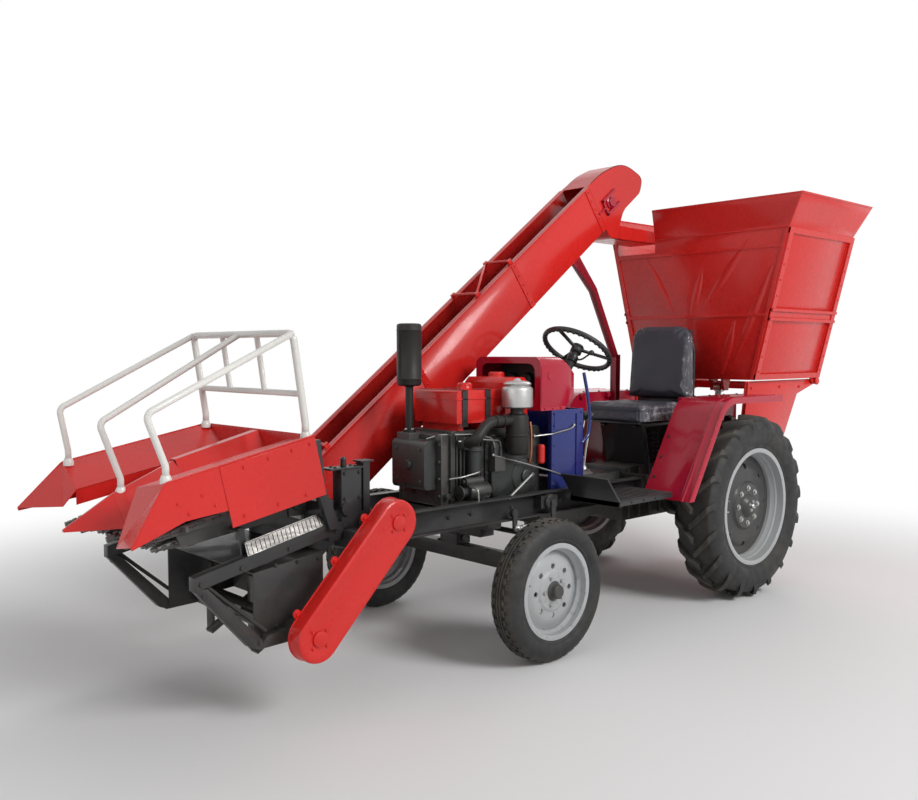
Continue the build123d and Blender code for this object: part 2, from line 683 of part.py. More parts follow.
def row_units():
    units = None
    for row in (-195, 195):
        for side in (-1, 1):
            y = row + side * 42
            roll = rod((1620, y, 790), (2130, y, 690), 36)
            units = roll if units is None else units + roll
        units += box((1560, 1640), (row - 100, row + 100), (740, 846))
        deck = [(1560, 846), (1640, 846), (2180, 740), (2150, 650), (2110, 650), (1640, 750)]
        for y in ((row - 84, row - 80), (row + 80, row + 84)):
            units += side_plate(deck, y)
    return units


def gathering_chains():
    chains = None
    for row in (-195, 195):
        for side in (-1, 1):
            y = row + side * 70
            bar = side_plate([(1640, 846), (1640, 864), (2180, 758), (2180, 740)], (y - 16, y + 16))
            chains = bar if chains is None else chains + bar
    return chains


GUARD_R = 14


def guard_hoop():
    top_x, top_z = 1672, 1440
    foot_x, half, foot_z = HOOP_FEET[1]
    rise = foot_z + 40
    hoop = bent_bar([(foot_x, -half, foot_z), (foot_x, -half, rise), (top_x, -half, top_z), (top_x, half, top_z),
                     (foot_x, half, rise), (foot_x, half, foot_z)], 30, GUARD_R)
    share = (1215 - rise) / (top_z - rise)
    bar_x = foot_x + share * (top_x - foot_x)
    hoop += rod((bar_x, -half, 1215), (bar_x, half, 1215), GUARD_R - 2)
    for y in (-140, 130):
        hoop += rod((bar_x, y, 1215), (top_x, y, top_z), GUARD_R - 3)
    for (x, y, z), bend_z in zip(GUARD_FEET, (1150, 1115, 1165)):
        hoop += bent_bar([(x, y, z), (x, y, z + 40), (2245, y, bend_z), (top_x, y, top_z)], 30, GUARD_R - 2)
    return hoop


COVER_TOP = (PIVOT_X, PIVOT_Z)
COVER_LOW = (1668, 322)
COVER_R = 92
COVER_Y = (470, 540)


def stadium(a, b, radius, y):
    """A plate with round ends about two points of X, Z."""
    angle = atan2(b[1] - a[1], b[0] - a[0])
    nx, nz = -sin(angle) * radius, cos(angle) * radius
    middle = side_plate([(a[0] + nx, a[1] + nz), (b[0] + nx, b[1] + nz), (b[0] - nx, b[1] - nz),
                         (a[0] - nx, a[1] - nz)], y)
    return middle + shaft_y(a[0], a[1], radius, y) + shaft_y(b[0], b[1], radius, y)


def chain_cover():
    cover = stadium(COVER_TOP, COVER_LOW, COVER_R, COVER_Y)
    cover -= stadium(COVER_TOP, COVER_LOW, COVER_R - SHEET, (COVER_Y[0] + SHEET, COVER_Y[1] - SHEET))
    return cover


def chopper_housing():
    back = 1523
    roof = side_plate([(back, 600), (1830, 560), (1830, 556), (back + 4, 595), (back + 4, 330), (back, 330)], (-344, 344))
    side = side_plate([(back, 600), (1830, 560), (1830, 300), (back, 330)], (344, 350))
    roof += both_sides(side)
    roof -= shaft_y(COVER_LOW[0], COVER_LOW[1], 22, (-360, 360))
    return roof


def chopper_rotor():
    x, z = COVER_LOW
    rotor = shaft_y(x, z, 45, (-325, 325))
    rotor += shaft_y(x, z, 20, (-352, 466))
    blades = 6
    for k in range(blades):
        y = -290 + 580 / (blades - 1) * k
        blade = box((-6, 6), (y - 25, y + 25), (40, 150))
        for turn in (0, 180):
            rotor += Pos(x, 0, z) * Rot(0, turn + 60 * k, 0) * blade
    return rotor


header_barrel, header_rod = cylinder_pair(CYLINDER_FOOT, HEADER_EYE, 32, 16, 0.72, 26, 80)
bin_barrel, bin_rod = cylinder_pair(BIN_FOOT, BIN_EYE, 36, 20, 0.85, 26, 5)

NODES = {
    "chassis_frame": chassis_frame(),
    "front_axle": front_axle(),
    "transaxle": transaxle(),
    "engine_block": engine_block(),
    "flywheel": flywheel(),
    "exhaust_muffler": exhaust_muffler(),
    "fuel_tank": fuel_tank(),
    "radiator_hood": radiator_hood(),
    "air_cleaner": air_cleaner(),
    "dash_cowl": dash_cowl(),
    "side_panels": side_panels(),
    "steering_column": steering_column(),
    "steering_wheel": steering_wheel(),
    "gear_levers": gear_levers(),
    "footplates": footplates(),
    "fenders": fenders(),
    "seat_base": seat_base(),
    "seat_cushion": seat_cushion(),
    "seat_backrest": seat_backrest(),
    "elevator_trough": elevator_trough(),
    "elevator_hood": elevator_hood(),
    "elevator_chain": elevator_chain(),
    "elevator_strut": elevator_strut(),
    "hopper_stand": hopper_stand(),
    "hopper_bin": hopper_bin(),
    "hopper_tailgate": hopper_tailgate(),
    "hopper_cylinder_barrel": bin_barrel,
    "hopper_cylinder_rod": bin_rod,
    "header_hood": header_hood(),
    "header_frame": header_frame(),
    "row_units": row_units(),
    "gathering_chains": gathering_chains(),
    "guard_hoop": guard_hoop(),
    "chain_cover": chain_cover(),
    "chopper_housing": chopper_housing(),
    "chopper_rotor": chopper_rotor(),
    "header_cylinder_barrel": header_barrel,
    "header_cylinder_rod": header_rod,
    "knuckle_left": knuckle(),
    "knuckle_right": mirror(knuckle(), about=Plane.XZ),
    "tie_rod": tie_rod(),
}
for name, side in (("left", 1), ("right", -1)):
    NODES["tyre_rear_" + name] = place_wheel(rear_tyre(), REAR_AXLE_X, REAR_R, REAR_TRACK_HALF, side)
    NODES["rim_rear_" + name] = place_wheel(rear_rim(), REAR_AXLE_X, REAR_R, REAR_TRACK_HALF, side)
    NODES["tyre_front_" + name] = place_wheel(front_tyre(), FRONT_AXLE_X, FRONT_R, FRONT_TRACK_HALF, side)
    NODES["rim_front_" + name] = place_wheel(front_rim(), FRONT_AXLE_X, FRONT_R, FRONT_TRACK_HALF, side)

os.makedirs("parts", exist_ok=True)
for name, shape in NODES.items():
    export_step(shape, f"parts/{name}.step")
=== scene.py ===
"""Looks of the mini corn harvester: paint, rubber, bare metal, the padded seat, and the forms and trim
that its solids leave out.

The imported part's own frame: +X forward, +Y the machine's left, +Z up. Shapes are written in millimetres.
"""
import json
import math

import bmesh
import bpy
from mathutils import Matrix, Vector, noise


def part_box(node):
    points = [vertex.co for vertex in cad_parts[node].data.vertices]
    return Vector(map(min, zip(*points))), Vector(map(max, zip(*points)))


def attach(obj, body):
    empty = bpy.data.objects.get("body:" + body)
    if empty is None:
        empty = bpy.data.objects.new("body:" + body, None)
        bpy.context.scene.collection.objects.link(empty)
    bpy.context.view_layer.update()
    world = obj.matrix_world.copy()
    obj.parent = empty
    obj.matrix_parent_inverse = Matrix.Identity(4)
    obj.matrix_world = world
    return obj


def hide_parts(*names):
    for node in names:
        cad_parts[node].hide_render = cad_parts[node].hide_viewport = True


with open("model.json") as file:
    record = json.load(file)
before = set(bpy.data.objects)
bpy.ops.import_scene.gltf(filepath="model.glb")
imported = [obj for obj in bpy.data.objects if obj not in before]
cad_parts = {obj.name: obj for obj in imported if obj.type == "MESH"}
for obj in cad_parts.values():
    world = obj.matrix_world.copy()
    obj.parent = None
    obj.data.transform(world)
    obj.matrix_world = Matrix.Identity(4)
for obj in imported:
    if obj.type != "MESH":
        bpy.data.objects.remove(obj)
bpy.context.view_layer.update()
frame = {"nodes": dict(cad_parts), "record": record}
nodes = frame["nodes"]

# Camera, as measured from the photograph
CAMERA_AT = (3.569, 3.341, 1.374)
CAMERA_YAW = 227.23
CAMERA_PITCH = -4.12
FOCAL_PIXELS = 934
IMAGE_WIDTH = 918
SENSOR = 36.0
SHIFT_UP = 0.02

# Colours, linear
RED = (0.66, 0.020, 0.016)
CRIMSON = (0.44, 0.006, 0.030)
# Maroon of the post under the elevator: partly its own darker red, partly painted shade for the shadow the
# post stands in
MAROON_AND_SHADE = (0.26, 0.010, 0.022)
FRAME_BLACK = (0.026, 0.026, 0.028)
ENGINE_GREY = (0.024, 0.026, 0.026)
BLUE = (0.012, 0.024, 0.17)
WHITE = (0.80, 0.79, 0.75)
SILVER = (0.40, 0.41, 0.42)
DISC_GREY = (0.050, 0.050, 0.050)
RUBBER = (0.020, 0.020, 0.020)
DUST = (0.20, 0.17, 0.13)
RUST = (0.16, 0.065, 0.030)

# Sizes that the pieces share, in millimetres
MM = 0.001
SHEET = 4
REAR_AXLE = (-1135, 512)
FRONT_AXLE = (505, 318)
REAR_HALF_TRACK = 590
FRONT_HALF_TRACK = 612
RAIL_Y = (225, 275)
ELEV_LOW = (1130, 647)
ELEV_SLOPE = math.radians(37.23)
ELEV_HALF = 150
ELEV_Y = (-535, -330)
ELEV_BOX_END = 2640
ELEV_RUN = 2775
CHAIN_N = -40
BIN_X = (-2355, -1535)
BIN_Z = (1200, 2090)
BIN_HALF = (420, 630)
LIP_Z = 2280
LIP_HALF = 730
HOOD_HALF = 415
HOOD_REAR_X = 1600
COVER_TOP = (1295, 705)
COVER_LOW = (1668, 322)


# Materials


class Shader:
    """A node material under construction, with short calls for what the finishes share."""

    def __init__(self, name):
        self.material = bpy.data.materials.new(name)
        self.material.use_nodes = True
        self.tree = self.material.node_tree
        self.shader = self.tree.nodes["Principled BSDF"]
        self.place = self.node("ShaderNodeTexCoord").outputs["Object"]

    def node(self, kind, **values):
        made = self.tree.nodes.new(kind)
        for key, value in values.items():
            setattr(made, key, value)
        return made

    def link(self, source, target):
        self.tree.links.new(source, target)

    def noise(self, scale, detail=4.0, roughness=0.55, stretch=None):
        """Noise over the place on the object, from 0 to 1."""
        made = self.node("ShaderNodeTexNoise")
        made.inputs["Scale"].default_value = scale
        made.inputs["Detail"].default_value = detail
        made.inputs["Roughness"].default_value = roughness
        source = self.place
        if stretch:
            mapping = self.node("ShaderNodeMapping")
            mapping.inputs["Scale"].default_value = stretch
            self.link(self.place, mapping.inputs["Vector"])
            source = mapping.outputs["Vector"]
        self.link(source, made.inputs["Vector"])
        return made.outputs["Fac"]

    def range(self, value, low, high, to_low=0.0, to_high=1.0):
        made = self.node("ShaderNodeMapRange")
        for key, amount in (("From Min", low), ("From Max", high), ("To Min", to_low), ("To Max", to_high)):
            made.inputs[key].default_value = amount
        self.link(value, made.inputs["Value"])
        return made.outputs["Result"]

    def math(self, operation, a, b):
        made = self.node("ShaderNodeMath", operation=operation, use_clamp=operation == "ADD")
        for socket, value in zip(made.inputs, (a, b)):
            if isinstance(value, (int, float)):
                socket.default_value = value
            else:
                self.link(value, socket)
        return made.outputs["Value"]

    def mix(self, share, a, b):
        """A colour between a and b, each a colour or a socket."""
        made = self.node("ShaderNodeMix", data_type="RGBA")
        for socket, value in ((made.inputs["Factor"], share), (made.inputs["A"], a), (made.inputs["B"], b)):
            if isinstance(value, (int, float)):
                socket.default_value = value
            elif isinstance(value, tuple):
                socket.default_value = (*value, 1.0)
            else:
                self.link(value, socket)
        return made.outputs["Result"]

    def bump(self, height, strength, distance):
        made = self.node("ShaderNodeBump")
        made.inputs["Strength"].default_value = strength
        made.inputs["Distance"].default_value = distance
        self.link(height, made.inputs["Height"])
        self.link(made.outputs["Normal"], self.shader.inputs["Normal"])

    def along(self, axis):
        split = self.node("ShaderNodeSeparateXYZ")
        self.link(self.place, split.inputs["Vector"])
        return split.outputs[axis]

    def from_axle(self, axle):
        """Distance from a wheel's axle, in metres."""
        x = self.math("SUBTRACT", self.along("X"), axle[0] * MM)
        z = self.math("SUBTRACT", self.along("Z"), axle[1] * MM)
        square = self.math("ADD", self.math("MULTIPLY", x, x), self.math("MULTIPLY", z, z))
        return self.math("SQRT", square, 0.0)

    def dust_low(self, top, fullness):
        """A mask of road dust: thick near the ground, gone above a height, broken up by noise."""
        fade = self.range(self.along("Z"), 0.05, top, fullness, 0.0)
        patch = self.range(self.noise(6.0, 6.0, 0.65), 0.35, 0.68)
        return self.math("MULTIPLY", fade, patch)

    def dust_top(self, amount):
        """A mask of dust settled on faces that look up."""
        split = self.node("ShaderNodeSeparateXYZ")
        self.link(self.node("ShaderNodeTexCoord").outputs["Normal"], split.inputs["Vector"])
        up = self.range(split.outputs["Z"], 0.5, 1.0, 0.0, amount)
        return self.math("MULTIPLY", up, self.range(self.noise(9.0, 6.0, 0.7), 0.42, 0.7))

    def edges(self, low=0.53, high=0.6):
        """A mask of worn outer edges."""
        return self.range(self.node("ShaderNodeNewGeometry").outputs["Pointiness"], low, high)


def darker(colour, share):
    return tuple(c * share for c in colour)


def paint(name, colour, rough=0.28, coat=0.22, dust=0.0, dust_high=0.9, chips=0.45):
    """Sprayed enamel on steel: slow tone changes, orange peel, fine scuffs, worn edges and settled dust."""
    s = Shader(name)
    tone = s.mix(s.range(s.noise(0.9, 2.0), 0.3, 0.7), darker(colour, 0.88), darker(colour, 1.05))
    scuff = s.range(s.noise(55.0, 8.0, 0.75, (1.0, 1.0, 0.18)), 0.66, 0.78, 0.0, 0.22)
    base = s.mix(scuff, tone, darker(colour, 0.78))
    chip = s.math("MULTIPLY", s.edges(0.58, 0.68), s.range(s.noise(30.0, 6.0, 0.7), 0.5, 0.62, 0.0, chips))
    base = s.mix(chip, base, darker(colour, 0.45))
    s.shader.inputs["Specular IOR Level"].default_value = 0.30
    top = s.dust_top(0.03 + dust * 0.35)
    cover = s.math("ADD", top, s.dust_low(dust_high, dust)) if dust else top
    s.link(s.mix(cover, base, DUST), s.shader.inputs["Base Color"])
    worn = s.range(s.noise(14.0, 5.0), 0.35, 0.75, rough * 0.88, rough * 1.25)
    s.link(s.math("ADD", worn, s.math("MULTIPLY", cover, 0.5)), s.shader.inputs["Roughness"])
    s.shader.inputs["Coat Weight"].default_value = coat
    s.shader.inputs["Coat Roughness"].default_value = 0.10
    s.bump(s.noise(240.0, 2.0), 0.04, 0.0005)
    return s.material


def bare_metal(name, colour, rough=0.35, rust=0.15, metallic=0.9):
    """Worked steel with fine scratches and a little rust and grime."""
    s = Shader(name)
    stain = s.range(s.noise(11.0, 8.0, 0.7), 0.56, 0.74, 0.0, rust)
    base = s.mix(s.range(s.noise(3.0, 3.0), 0.3, 0.7), darker(colour, 0.8), colour)
    s.link(s.mix(stain, base, RUST), s.shader.inputs["Base Color"])
    scratch = s.noise(90.0, 6.0, 0.6, (0.15, 1.0, 1.0))
    s.link(s.range(scratch, 0.3, 0.75, rough * 0.75, rough * 1.5), s.shader.inputs["Roughness"])
    s.shader.inputs["Metallic"].default_value = metallic
    s.bump(scratch, 0.12, 0.0004)
    return s.material


def cast_iron(name, colour, oil=0.4):
    """Sand-cast iron under thin paint, oily in places."""
    s = Shader(name)
    grime = s.range(s.noise(7.0, 8.0, 0.7), 0.4, 0.7)
    base = s.mix(grime, darker(colour, 1.4), darker(colour, 0.6))
    worn = s.mix(s.range(s.edges(), 0.0, 1.0, 0.0, 0.5), base, (0.16, 0.15, 0.14))
    s.link(s.mix(s.dust_low(0.8, 0.4), worn, darker(DUST, 0.8)), s.shader.inputs["Base Color"])
    s.link(s.range(s.noise(5.0, 5.0), 0.35, 0.65, 0.60, 0.60 - oil), s.shader.inputs["Roughness"])
    s.shader.inputs["Metallic"].default_value = 0.25
    s.bump(s.noise(420.0, 3.0, 0.6), 0.3, 0.0008)
    return s.material


def tyre_rubber(name, axle, tread, rim):
    """Black rubber with grey dust on the tread, moulded rings on the sidewall and a clean flank."""
    s = Shader(name)
    base = s.mix(s.range(s.noise(12.0, 5.0), 0.3, 0.7), darker(RUBBER, 0.75), darker(RUBBER, 1.4))
    radius = s.from_axle(axle)
    worn = s.range(radius, tread * 0.90, tread, 0.0, 0.65)
    patch = s.range(s.noise(9.0, 6.0, 0.65), 0.32, 0.68)
    dirt = s.math("ADD", s.math("MULTIPLY", worn, patch), s.range(s.noise(3.0, 5.0), 0.5, 0.75, 0.0, 0.22))
    s.link(s.mix(dirt, base, darker(DUST, 0.55)), s.shader.inputs["Base Color"])
    s.link(s.range(s.noise(25.0, 6.0), 0.3, 0.7, 0.50, 0.78), s.shader.inputs["Roughness"])
    s.shader.inputs["Specular IOR Level"].default_value = 0.4
    ring = s.math("SINE", s.math("MULTIPLY", radius, 2 * math.pi / 0.014), 0.0)
    near = s.range(radius, rim * 1.02, rim * 1.10, 1.0, 0.0)
    height = s.math("ADD", s.math("MULTIPLY", s.math("MULTIPLY", ring, near), 0.3), s.noise(320.0, 4.0, 0.7))
    s.bump(height, 0.25, 0.0009)
    return s.material


def plastic(name, colour, rough=0.45):
    """Moulded plastic with a fine grain."""
    s = Shader(name)
    s.link(s.mix(s.dust_top(0.2), colour, DUST), s.shader.inputs["Base Color"])
    s.link(s.range(s.noise(20.0, 4.0), 0.3, 0.7, rough * 0.85, rough * 1.2), s.shader.inputs["Roughness"])
    s.bump(s.noise(700.0, 2.0), 0.15, 0.0003)
    return s.material


def vinyl(name, colour, wrap_from):
    """Grained seat vinyl; a shiny crumpled film still wraps it beyond wrap_from on the left side. The film's
    shine is painted into its colour as pale grey streaks along the crumples, which are painted highlights.
    """
    s = Shader(name)
    film = s.range(s.math("ADD", s.along("Y"), s.range(s.noise(11.0, 4.0), 0.3, 0.7, -0.03, 0.03)),
                   wrap_from, wrap_from + 0.012)
    crease = s.range(s.noise(34.0, 6.0, 0.7, (1.0, 1.0, 0.35)), 0.50, 0.62)
    base = s.mix(s.range(s.noise(4.0, 3.0), 0.3, 0.7), darker(colour, 0.85), darker(colour, 1.2))
    base = s.mix(s.dust_top(0.10), base, DUST)
    # Painted highlight: pale grey streaks on the film, following its crumples, stand for the film's glints
    s.link(s.mix(s.math("MULTIPLY", film, s.range(crease, 0.0, 1.0, 0.12, 0.62)), base, (0.42, 0.40, 0.43)),
           s.shader.inputs["Base Color"])
    plain = s.range(s.noise(6.0, 4.0), 0.3, 0.7, 0.40, 0.58)
    s.link(s.math("SUBTRACT", plain, s.math("MULTIPLY", film, 0.30)), s.shader.inputs["Roughness"])
    cells = s.node("ShaderNodeTexVoronoi")
    cells.inputs["Scale"].default_value = 420.0
    s.link(s.place, cells.inputs["Vector"])
    crumple = s.math("MULTIPLY", film, s.math("MULTIPLY", s.noise(34.0, 6.0, 0.7, (1.0, 1.0, 0.35)), 14.0))
    s.bump(s.math("ADD", s.math("MULTIPLY", cells.outputs["Distance"], 0.5), crumple), 0.4, 0.0006)
    return s.material


def glass(name):
    """A dial's cover."""
    s = Shader(name)
    s.link(s.mix(s.dust_top(0.2), (0.03, 0.035, 0.04), DUST), s.shader.inputs["Base Color"])
    s.link(s.range(s.noise(20.0, 4.0), 0.3, 0.7, 0.05, 0.14), s.shader.inputs["Roughness"])
    s.bump(s.noise(50.0, 2.0), 0.02, 0.0002)
    return s.material


REAR_TREAD = 0.512
FRONT_TREAD = 0.318
FINISH = {
    "red_paint": paint("red_paint", RED),
    "crimson": paint("crimson", CRIMSON, 0.24, 0.35),
    # maroon_paint holds the post's own darker red together with painted shade
    "maroon_paint": paint("maroon_paint", MAROON_AND_SHADE),
    "dark_frame_paint": paint("dark_frame_paint", FRAME_BLACK, 0.40, 0.15, 0.35, 0.75),
    "engine_iron": cast_iron("engine_iron", ENGINE_GREY),
    "blue_paint": paint("blue_paint", BLUE, 0.30, 0.4, 0.12, 0.9),
    "white_tube_paint": paint("white_tube_paint", WHITE, 0.3, 0.3, chips=0.15),
    "silver_rim_paint": paint("silver_rim_paint", SILVER, 0.34, 0.25, 0.22, 0.5),
    "dark_disc_paint": paint("dark_disc_paint", DISC_GREY, 0.42, 0.15, 0.25, 0.6),
    "tyre_rear": tyre_rubber("tyre_rear", REAR_AXLE, REAR_TREAD, 0.326),
    "tyre_front": tyre_rubber("tyre_front", FRONT_AXLE, FRONT_TREAD, 0.215),
    "seat_vinyl": vinyl("seat_vinyl", (0.030, 0.033, 0.046), 0.185),
    "black_plastic": plastic("black_plastic", (0.015, 0.015, 0.016)),
    "bare_steel": bare_metal("bare_steel", (0.52, 0.52, 0.51)),
    "roll_steel": bare_metal("roll_steel", (0.20, 0.19, 0.18), 0.42, 0.35),
    "rod_steel": bare_metal("rod_steel", (0.34, 0.34, 0.33), 0.36, 0.2),
    "copper": bare_metal("copper", (0.42, 0.17, 0.09), 0.3, 0.1),
    "muffler_black": paint("muffler_black", (0.016, 0.014, 0.013), 0.5, 0.0),
    "dial_glass": glass("dial_glass"),
}
SLOT_OF = {p["node"]: p["material_slot"] for p in frame["record"]["subparts"]}
OWN_FINISH = {"fenders": "crimson", "dash_cowl": "crimson", "tyre_rear_left": "tyre_rear",
              "tyre_rear_right": "tyre_rear", "tyre_front_left": "tyre_front",
              "tyre_front_right": "tyre_front"}


# Mesh making


def arc_corners(points, radius, steps=6):
    """A path of points whose inner corners are rounded over radius on each side."""
    points = [Vector(p) for p in points]
    path = [points[0]]
    for before, corner, after in zip(points, points[1:], points[2:]):
        back, on = before - corner, after - corner
        reach = min(radius, back.length * 0.45, on.length * 0.45)
        start, end = corner + back.normalized() * reach, corner + on.normalized() * reach
        for k in range(steps + 1):
            t = k / steps
            path.append(start * (1 - t) ** 2 + corner * 2 * t * (1 - t) + end * t ** 2)
    return path + [points[-1]]


def rounded(points, radii, steps=6):
    """A closed outline of (a, b) points with some corners rounded: radii has one number a corner."""
    count, path = len(points), []
    for k, point in enumerate(points):
        if not radii[k]:
            path.append(tuple(point))
            continue
        corner = Vector(point)
        back, on = Vector(points[k - 1]) - corner, Vector(points[(k + 1) % count]) - corner
        start = corner + back.normalized() * min(radii[k], back.length * 0.48)
        end = corner + on.normalized() * min(radii[k], on.length * 0.48)
        for j in range(steps + 1):
            t = j / steps
            spot = start * (1 - t) ** 2 + corner * 2 * t * (1 - t) + end * t ** 2
            path.append((spot.x, spot.y))
    return path


class Shape:
    """Closed shapes in millimetres, gathered into one mesh."""

    def __init__(self):
        self.mesh = bmesh.new()
        self.placing = Matrix.Identity(4)

    def skin(self, rings, caps=True, closed=False):
        """Faces between rings of points, with flat ends, or closed from the last ring to the first."""
        made = [[self.mesh.verts.new(self.placing @ Vector(p)) for p in ring] for ring in rings]
        width = max(len(ring) for ring in made)
        for a, b in zip(made, made[1:] + (made[:1] if closed else [])):
            for k in range(width):
                n = (k + 1) % width
                corners = [a[k % len(a)], a[n % len(a)], b[n % len(b)], b[k % len(b)]]
                unique = [v for i, v in enumerate(corners) if v not in corners[:i]]
                if len(unique) > 2:
                    self.mesh.faces.new(unique)
        if caps:
            for ring in (made[0][::-1], made[-1]):
                if len(ring) > 2:
                    self.mesh.faces.new(ring)
        return self

    def prism(self, corners, way):
        corners = [Vector(c) for c in corners]
        return self.skin([corners, [c + Vector(way) for c in corners]])

    def side(self, points, y):
        """An outline of (X, Z) points from y[0] to y[1]."""
        return self.prism([(px, y[0], pz) for px, pz in points], (0, y[1] - y[0], 0))

    def cross(self, points, x):
        """An outline of (Y, Z) points from x[0] to x[1]."""
        return self.prism([(x[0], py, pz) for py, pz in points], (x[1] - x[0], 0, 0))

    def flat(self, points, z):
        """An outline of (X, Y) points from z[0] to z[1]."""
        return self.prism([(px, py, z[0]) for px, py in points], (0, 0, z[1] - z[0]))

    def slope(self, points, y):
        """An outline of points along and above the elevator's slope."""
        return self.side([slope_point(s, n) for s, n in points], y)

    def box(self, x, y, z):
        return self.flat([(x[0], y[0]), (x[1], y[0]), (x[1], y[1]), (x[0], y[1])], z)

    def rod(self, start, end, radius, end_radius=None, sides=20):
        start, end = Vector(start), Vector(end)
        turn = (end - start).to_track_quat("Z", "Y").to_matrix()
        rings = []
        for centre, r in ((start, radius), (end, radius if end_radius is None else end_radius)):
            angles = [2 * math.pi * k / sides for k in range(sides)]
            rings.append([centre + turn @ Vector((r * math.cos(a), r * math.sin(a), 0)) for a in angles])
        return self.skin(rings)

    def across(self, x, z, radius, y, sides=24):
        """A round bar along Y."""
        return self.rod((x, y[0], z), (x, y[1], z), radius, sides=sides)

    def turned(self, profile, at, axis="Y", sides=48):
        """A closed profile of (radius, along) points turned about an axis through at."""
        rings = []
        for r, along in profile:
            ring = []
            for k in range(sides if r > 0.01 else 1):
                a = 2 * math.pi * k / sides
                u, v = r * math.cos(a), r * math.sin(a)
                ring.append((at[0] + u, at[1] + along, at[2] + v) if axis == "Y" else
                            (at[0] + u, at[1] + v, at[2] + along) if axis == "Z" else
                            (at[0] + along, at[1] + u, at[2] + v))
            rings.append(ring)
        on_axis = len(rings[0]) == 1 and len(rings[-1]) == 1
        return self.skin(rings, caps=False, closed=not on_axis)

    def tube(self, points, radius, bend=30, sides=10):
        """A round bar along points with rounded corners."""
        path = arc_corners(points, bend)
        rings, side = [], None
        for k, point in enumerate(path):
            way = (path[min(k + 1, len(path) - 1)] - path[max(k - 1, 0)]).normalized()
            if side is None:
                side = way.orthogonal().normalized()
            side = (side - way * side.dot(way)).normalized()
            other = way.cross(side)
            angles = [2 * math.pi * j / sides for j in range(sides)]
            rings.append([point + side * radius * math.cos(a) + other * radius * math.sin(a) for a in angles])
        return self.skin(rings)

    def bolt(self, at, way, size=8):
        """A hexagon head on a washer, standing out along way."""
        at, way = Vector(at), Vector(way).normalized()
        self.rod(at, at + way * 1.8, size * 1.35, sides=16)
        self.rod(at + way * 1.8, at + way * (1.8 + size * 0.65), size, size * 0.94, sides=6)
        return self

    def bolts(self, spots, way, size=8):
        for spot in spots:
            self.bolt(spot, way, size)
        return self

    def ball(self, at, radius, sides=20):
        rings = 10
        profile = [(radius * math.sin(math.pi * k / rings), -radius * math.cos(math.pi * k / rings))
                   for k in range(rings + 1)]
        profile[0], profile[-1] = (0, -radius), (0, radius)
        return self.turned(profile, at, "Z", sides)

    def mirror(self):
        """Adds the mirror image across the machine's middle plane."""
        made = bmesh.ops.duplicate(self.mesh,
                                   geom=self.mesh.verts[:] + self.mesh.edges[:] + self.mesh.faces[:])
        for vert in (v for v in made["geom"] if isinstance(v, bmesh.types.BMVert)):
            vert.co.y = -vert.co.y
        return self

    def moved(self, matrix):
        """A copy of the whole shape under a transform."""
        other = Shape()
        other.mesh = self.mesh.copy()
        bmesh.ops.transform(other.mesh, matrix=matrix, verts=other.mesh.verts[:])
        return other


def slope_point(s, n):
    """A point along the elevator's slope and above its middle line, as (X, Z)."""
    return (ELEV_LOW[0] - s * math.cos(ELEV_SLOPE) + n * math.sin(ELEV_SLOPE),
            ELEV_LOW[1] + s * math.sin(ELEV_SLOPE) + n * math.cos(ELEV_SLOPE))


def to_mesh(name, shape):
    """The shape as a mesh in metres with its faces turned outwards."""
    bmesh.ops.recalc_face_normals(shape.mesh, faces=shape.mesh.faces[:])
    bmesh.ops.scale(shape.mesh, vec=(MM, MM, MM), verts=shape.mesh.verts[:])
    mesh = bpy.data.meshes.new(name)
    shape.mesh.to_mesh(mesh)
    shape.mesh.free()
    return mesh


def finished(mesh):
    """What the object's modifiers make of it, as a plain mesh."""
    return bpy.data.meshes.new_from_object(mesh.evaluated_get(bpy.context.evaluated_depsgraph_get()))


def edge_bevel(piece, width, segments=2):
    bevel = piece.modifiers.new("edges", "BEVEL")
    bevel.width = width
    bevel.segments = segments
    bevel.limit_method = "ANGLE"
    bevel.angle_limit = math.radians(28)
    bevel.use_clamp_overlap = True


def piece(name, shape, body, slot, finish=None, replaces=(), bevel=0.8, angle=34, cut=None):
    """Makes a shape an object of the scene that rides on a body and takes its finish from a slot."""
    made = bpy.data.objects.new(name, to_mesh(name, shape))
    bpy.context.scene.collection.objects.link(made)
    if cut is not None:
        tool = bpy.data.objects.new("cutter", to_mesh("cutter", cut))
        bpy.context.scene.collection.objects.link(tool)
        holes = made.modifiers.new("holes", "BOOLEAN")
        holes.operation = "DIFFERENCE"
        holes.solver = "EXACT"
        holes.use_self = True
        holes.object = tool
        mesh = finished(made)
        made.modifiers.remove(holes)
        made.data = mesh
        bpy.data.objects.remove(tool)
    made.data.materials.clear()
    made.data.materials.append(FINISH[finish or slot])
    made.data.shade_smooth()
    made.data.set_sharp_from_angle(angle=math.radians(angle))
    if bevel:
        edge_bevel(made, bevel * MM)
    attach(made, body)
    if replaces:
        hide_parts(*replaces)
    return made


def on_wheel(side, x, z, half_track):
    """From a wheel modelled about the origin, outer face to +Y, to its place on the machine."""
    turn = Matrix.Rotation(0 if side > 0 else math.pi, 4, "Z")
    return Matrix.Translation((x, side * half_track, z)) @ turn


# Wheels


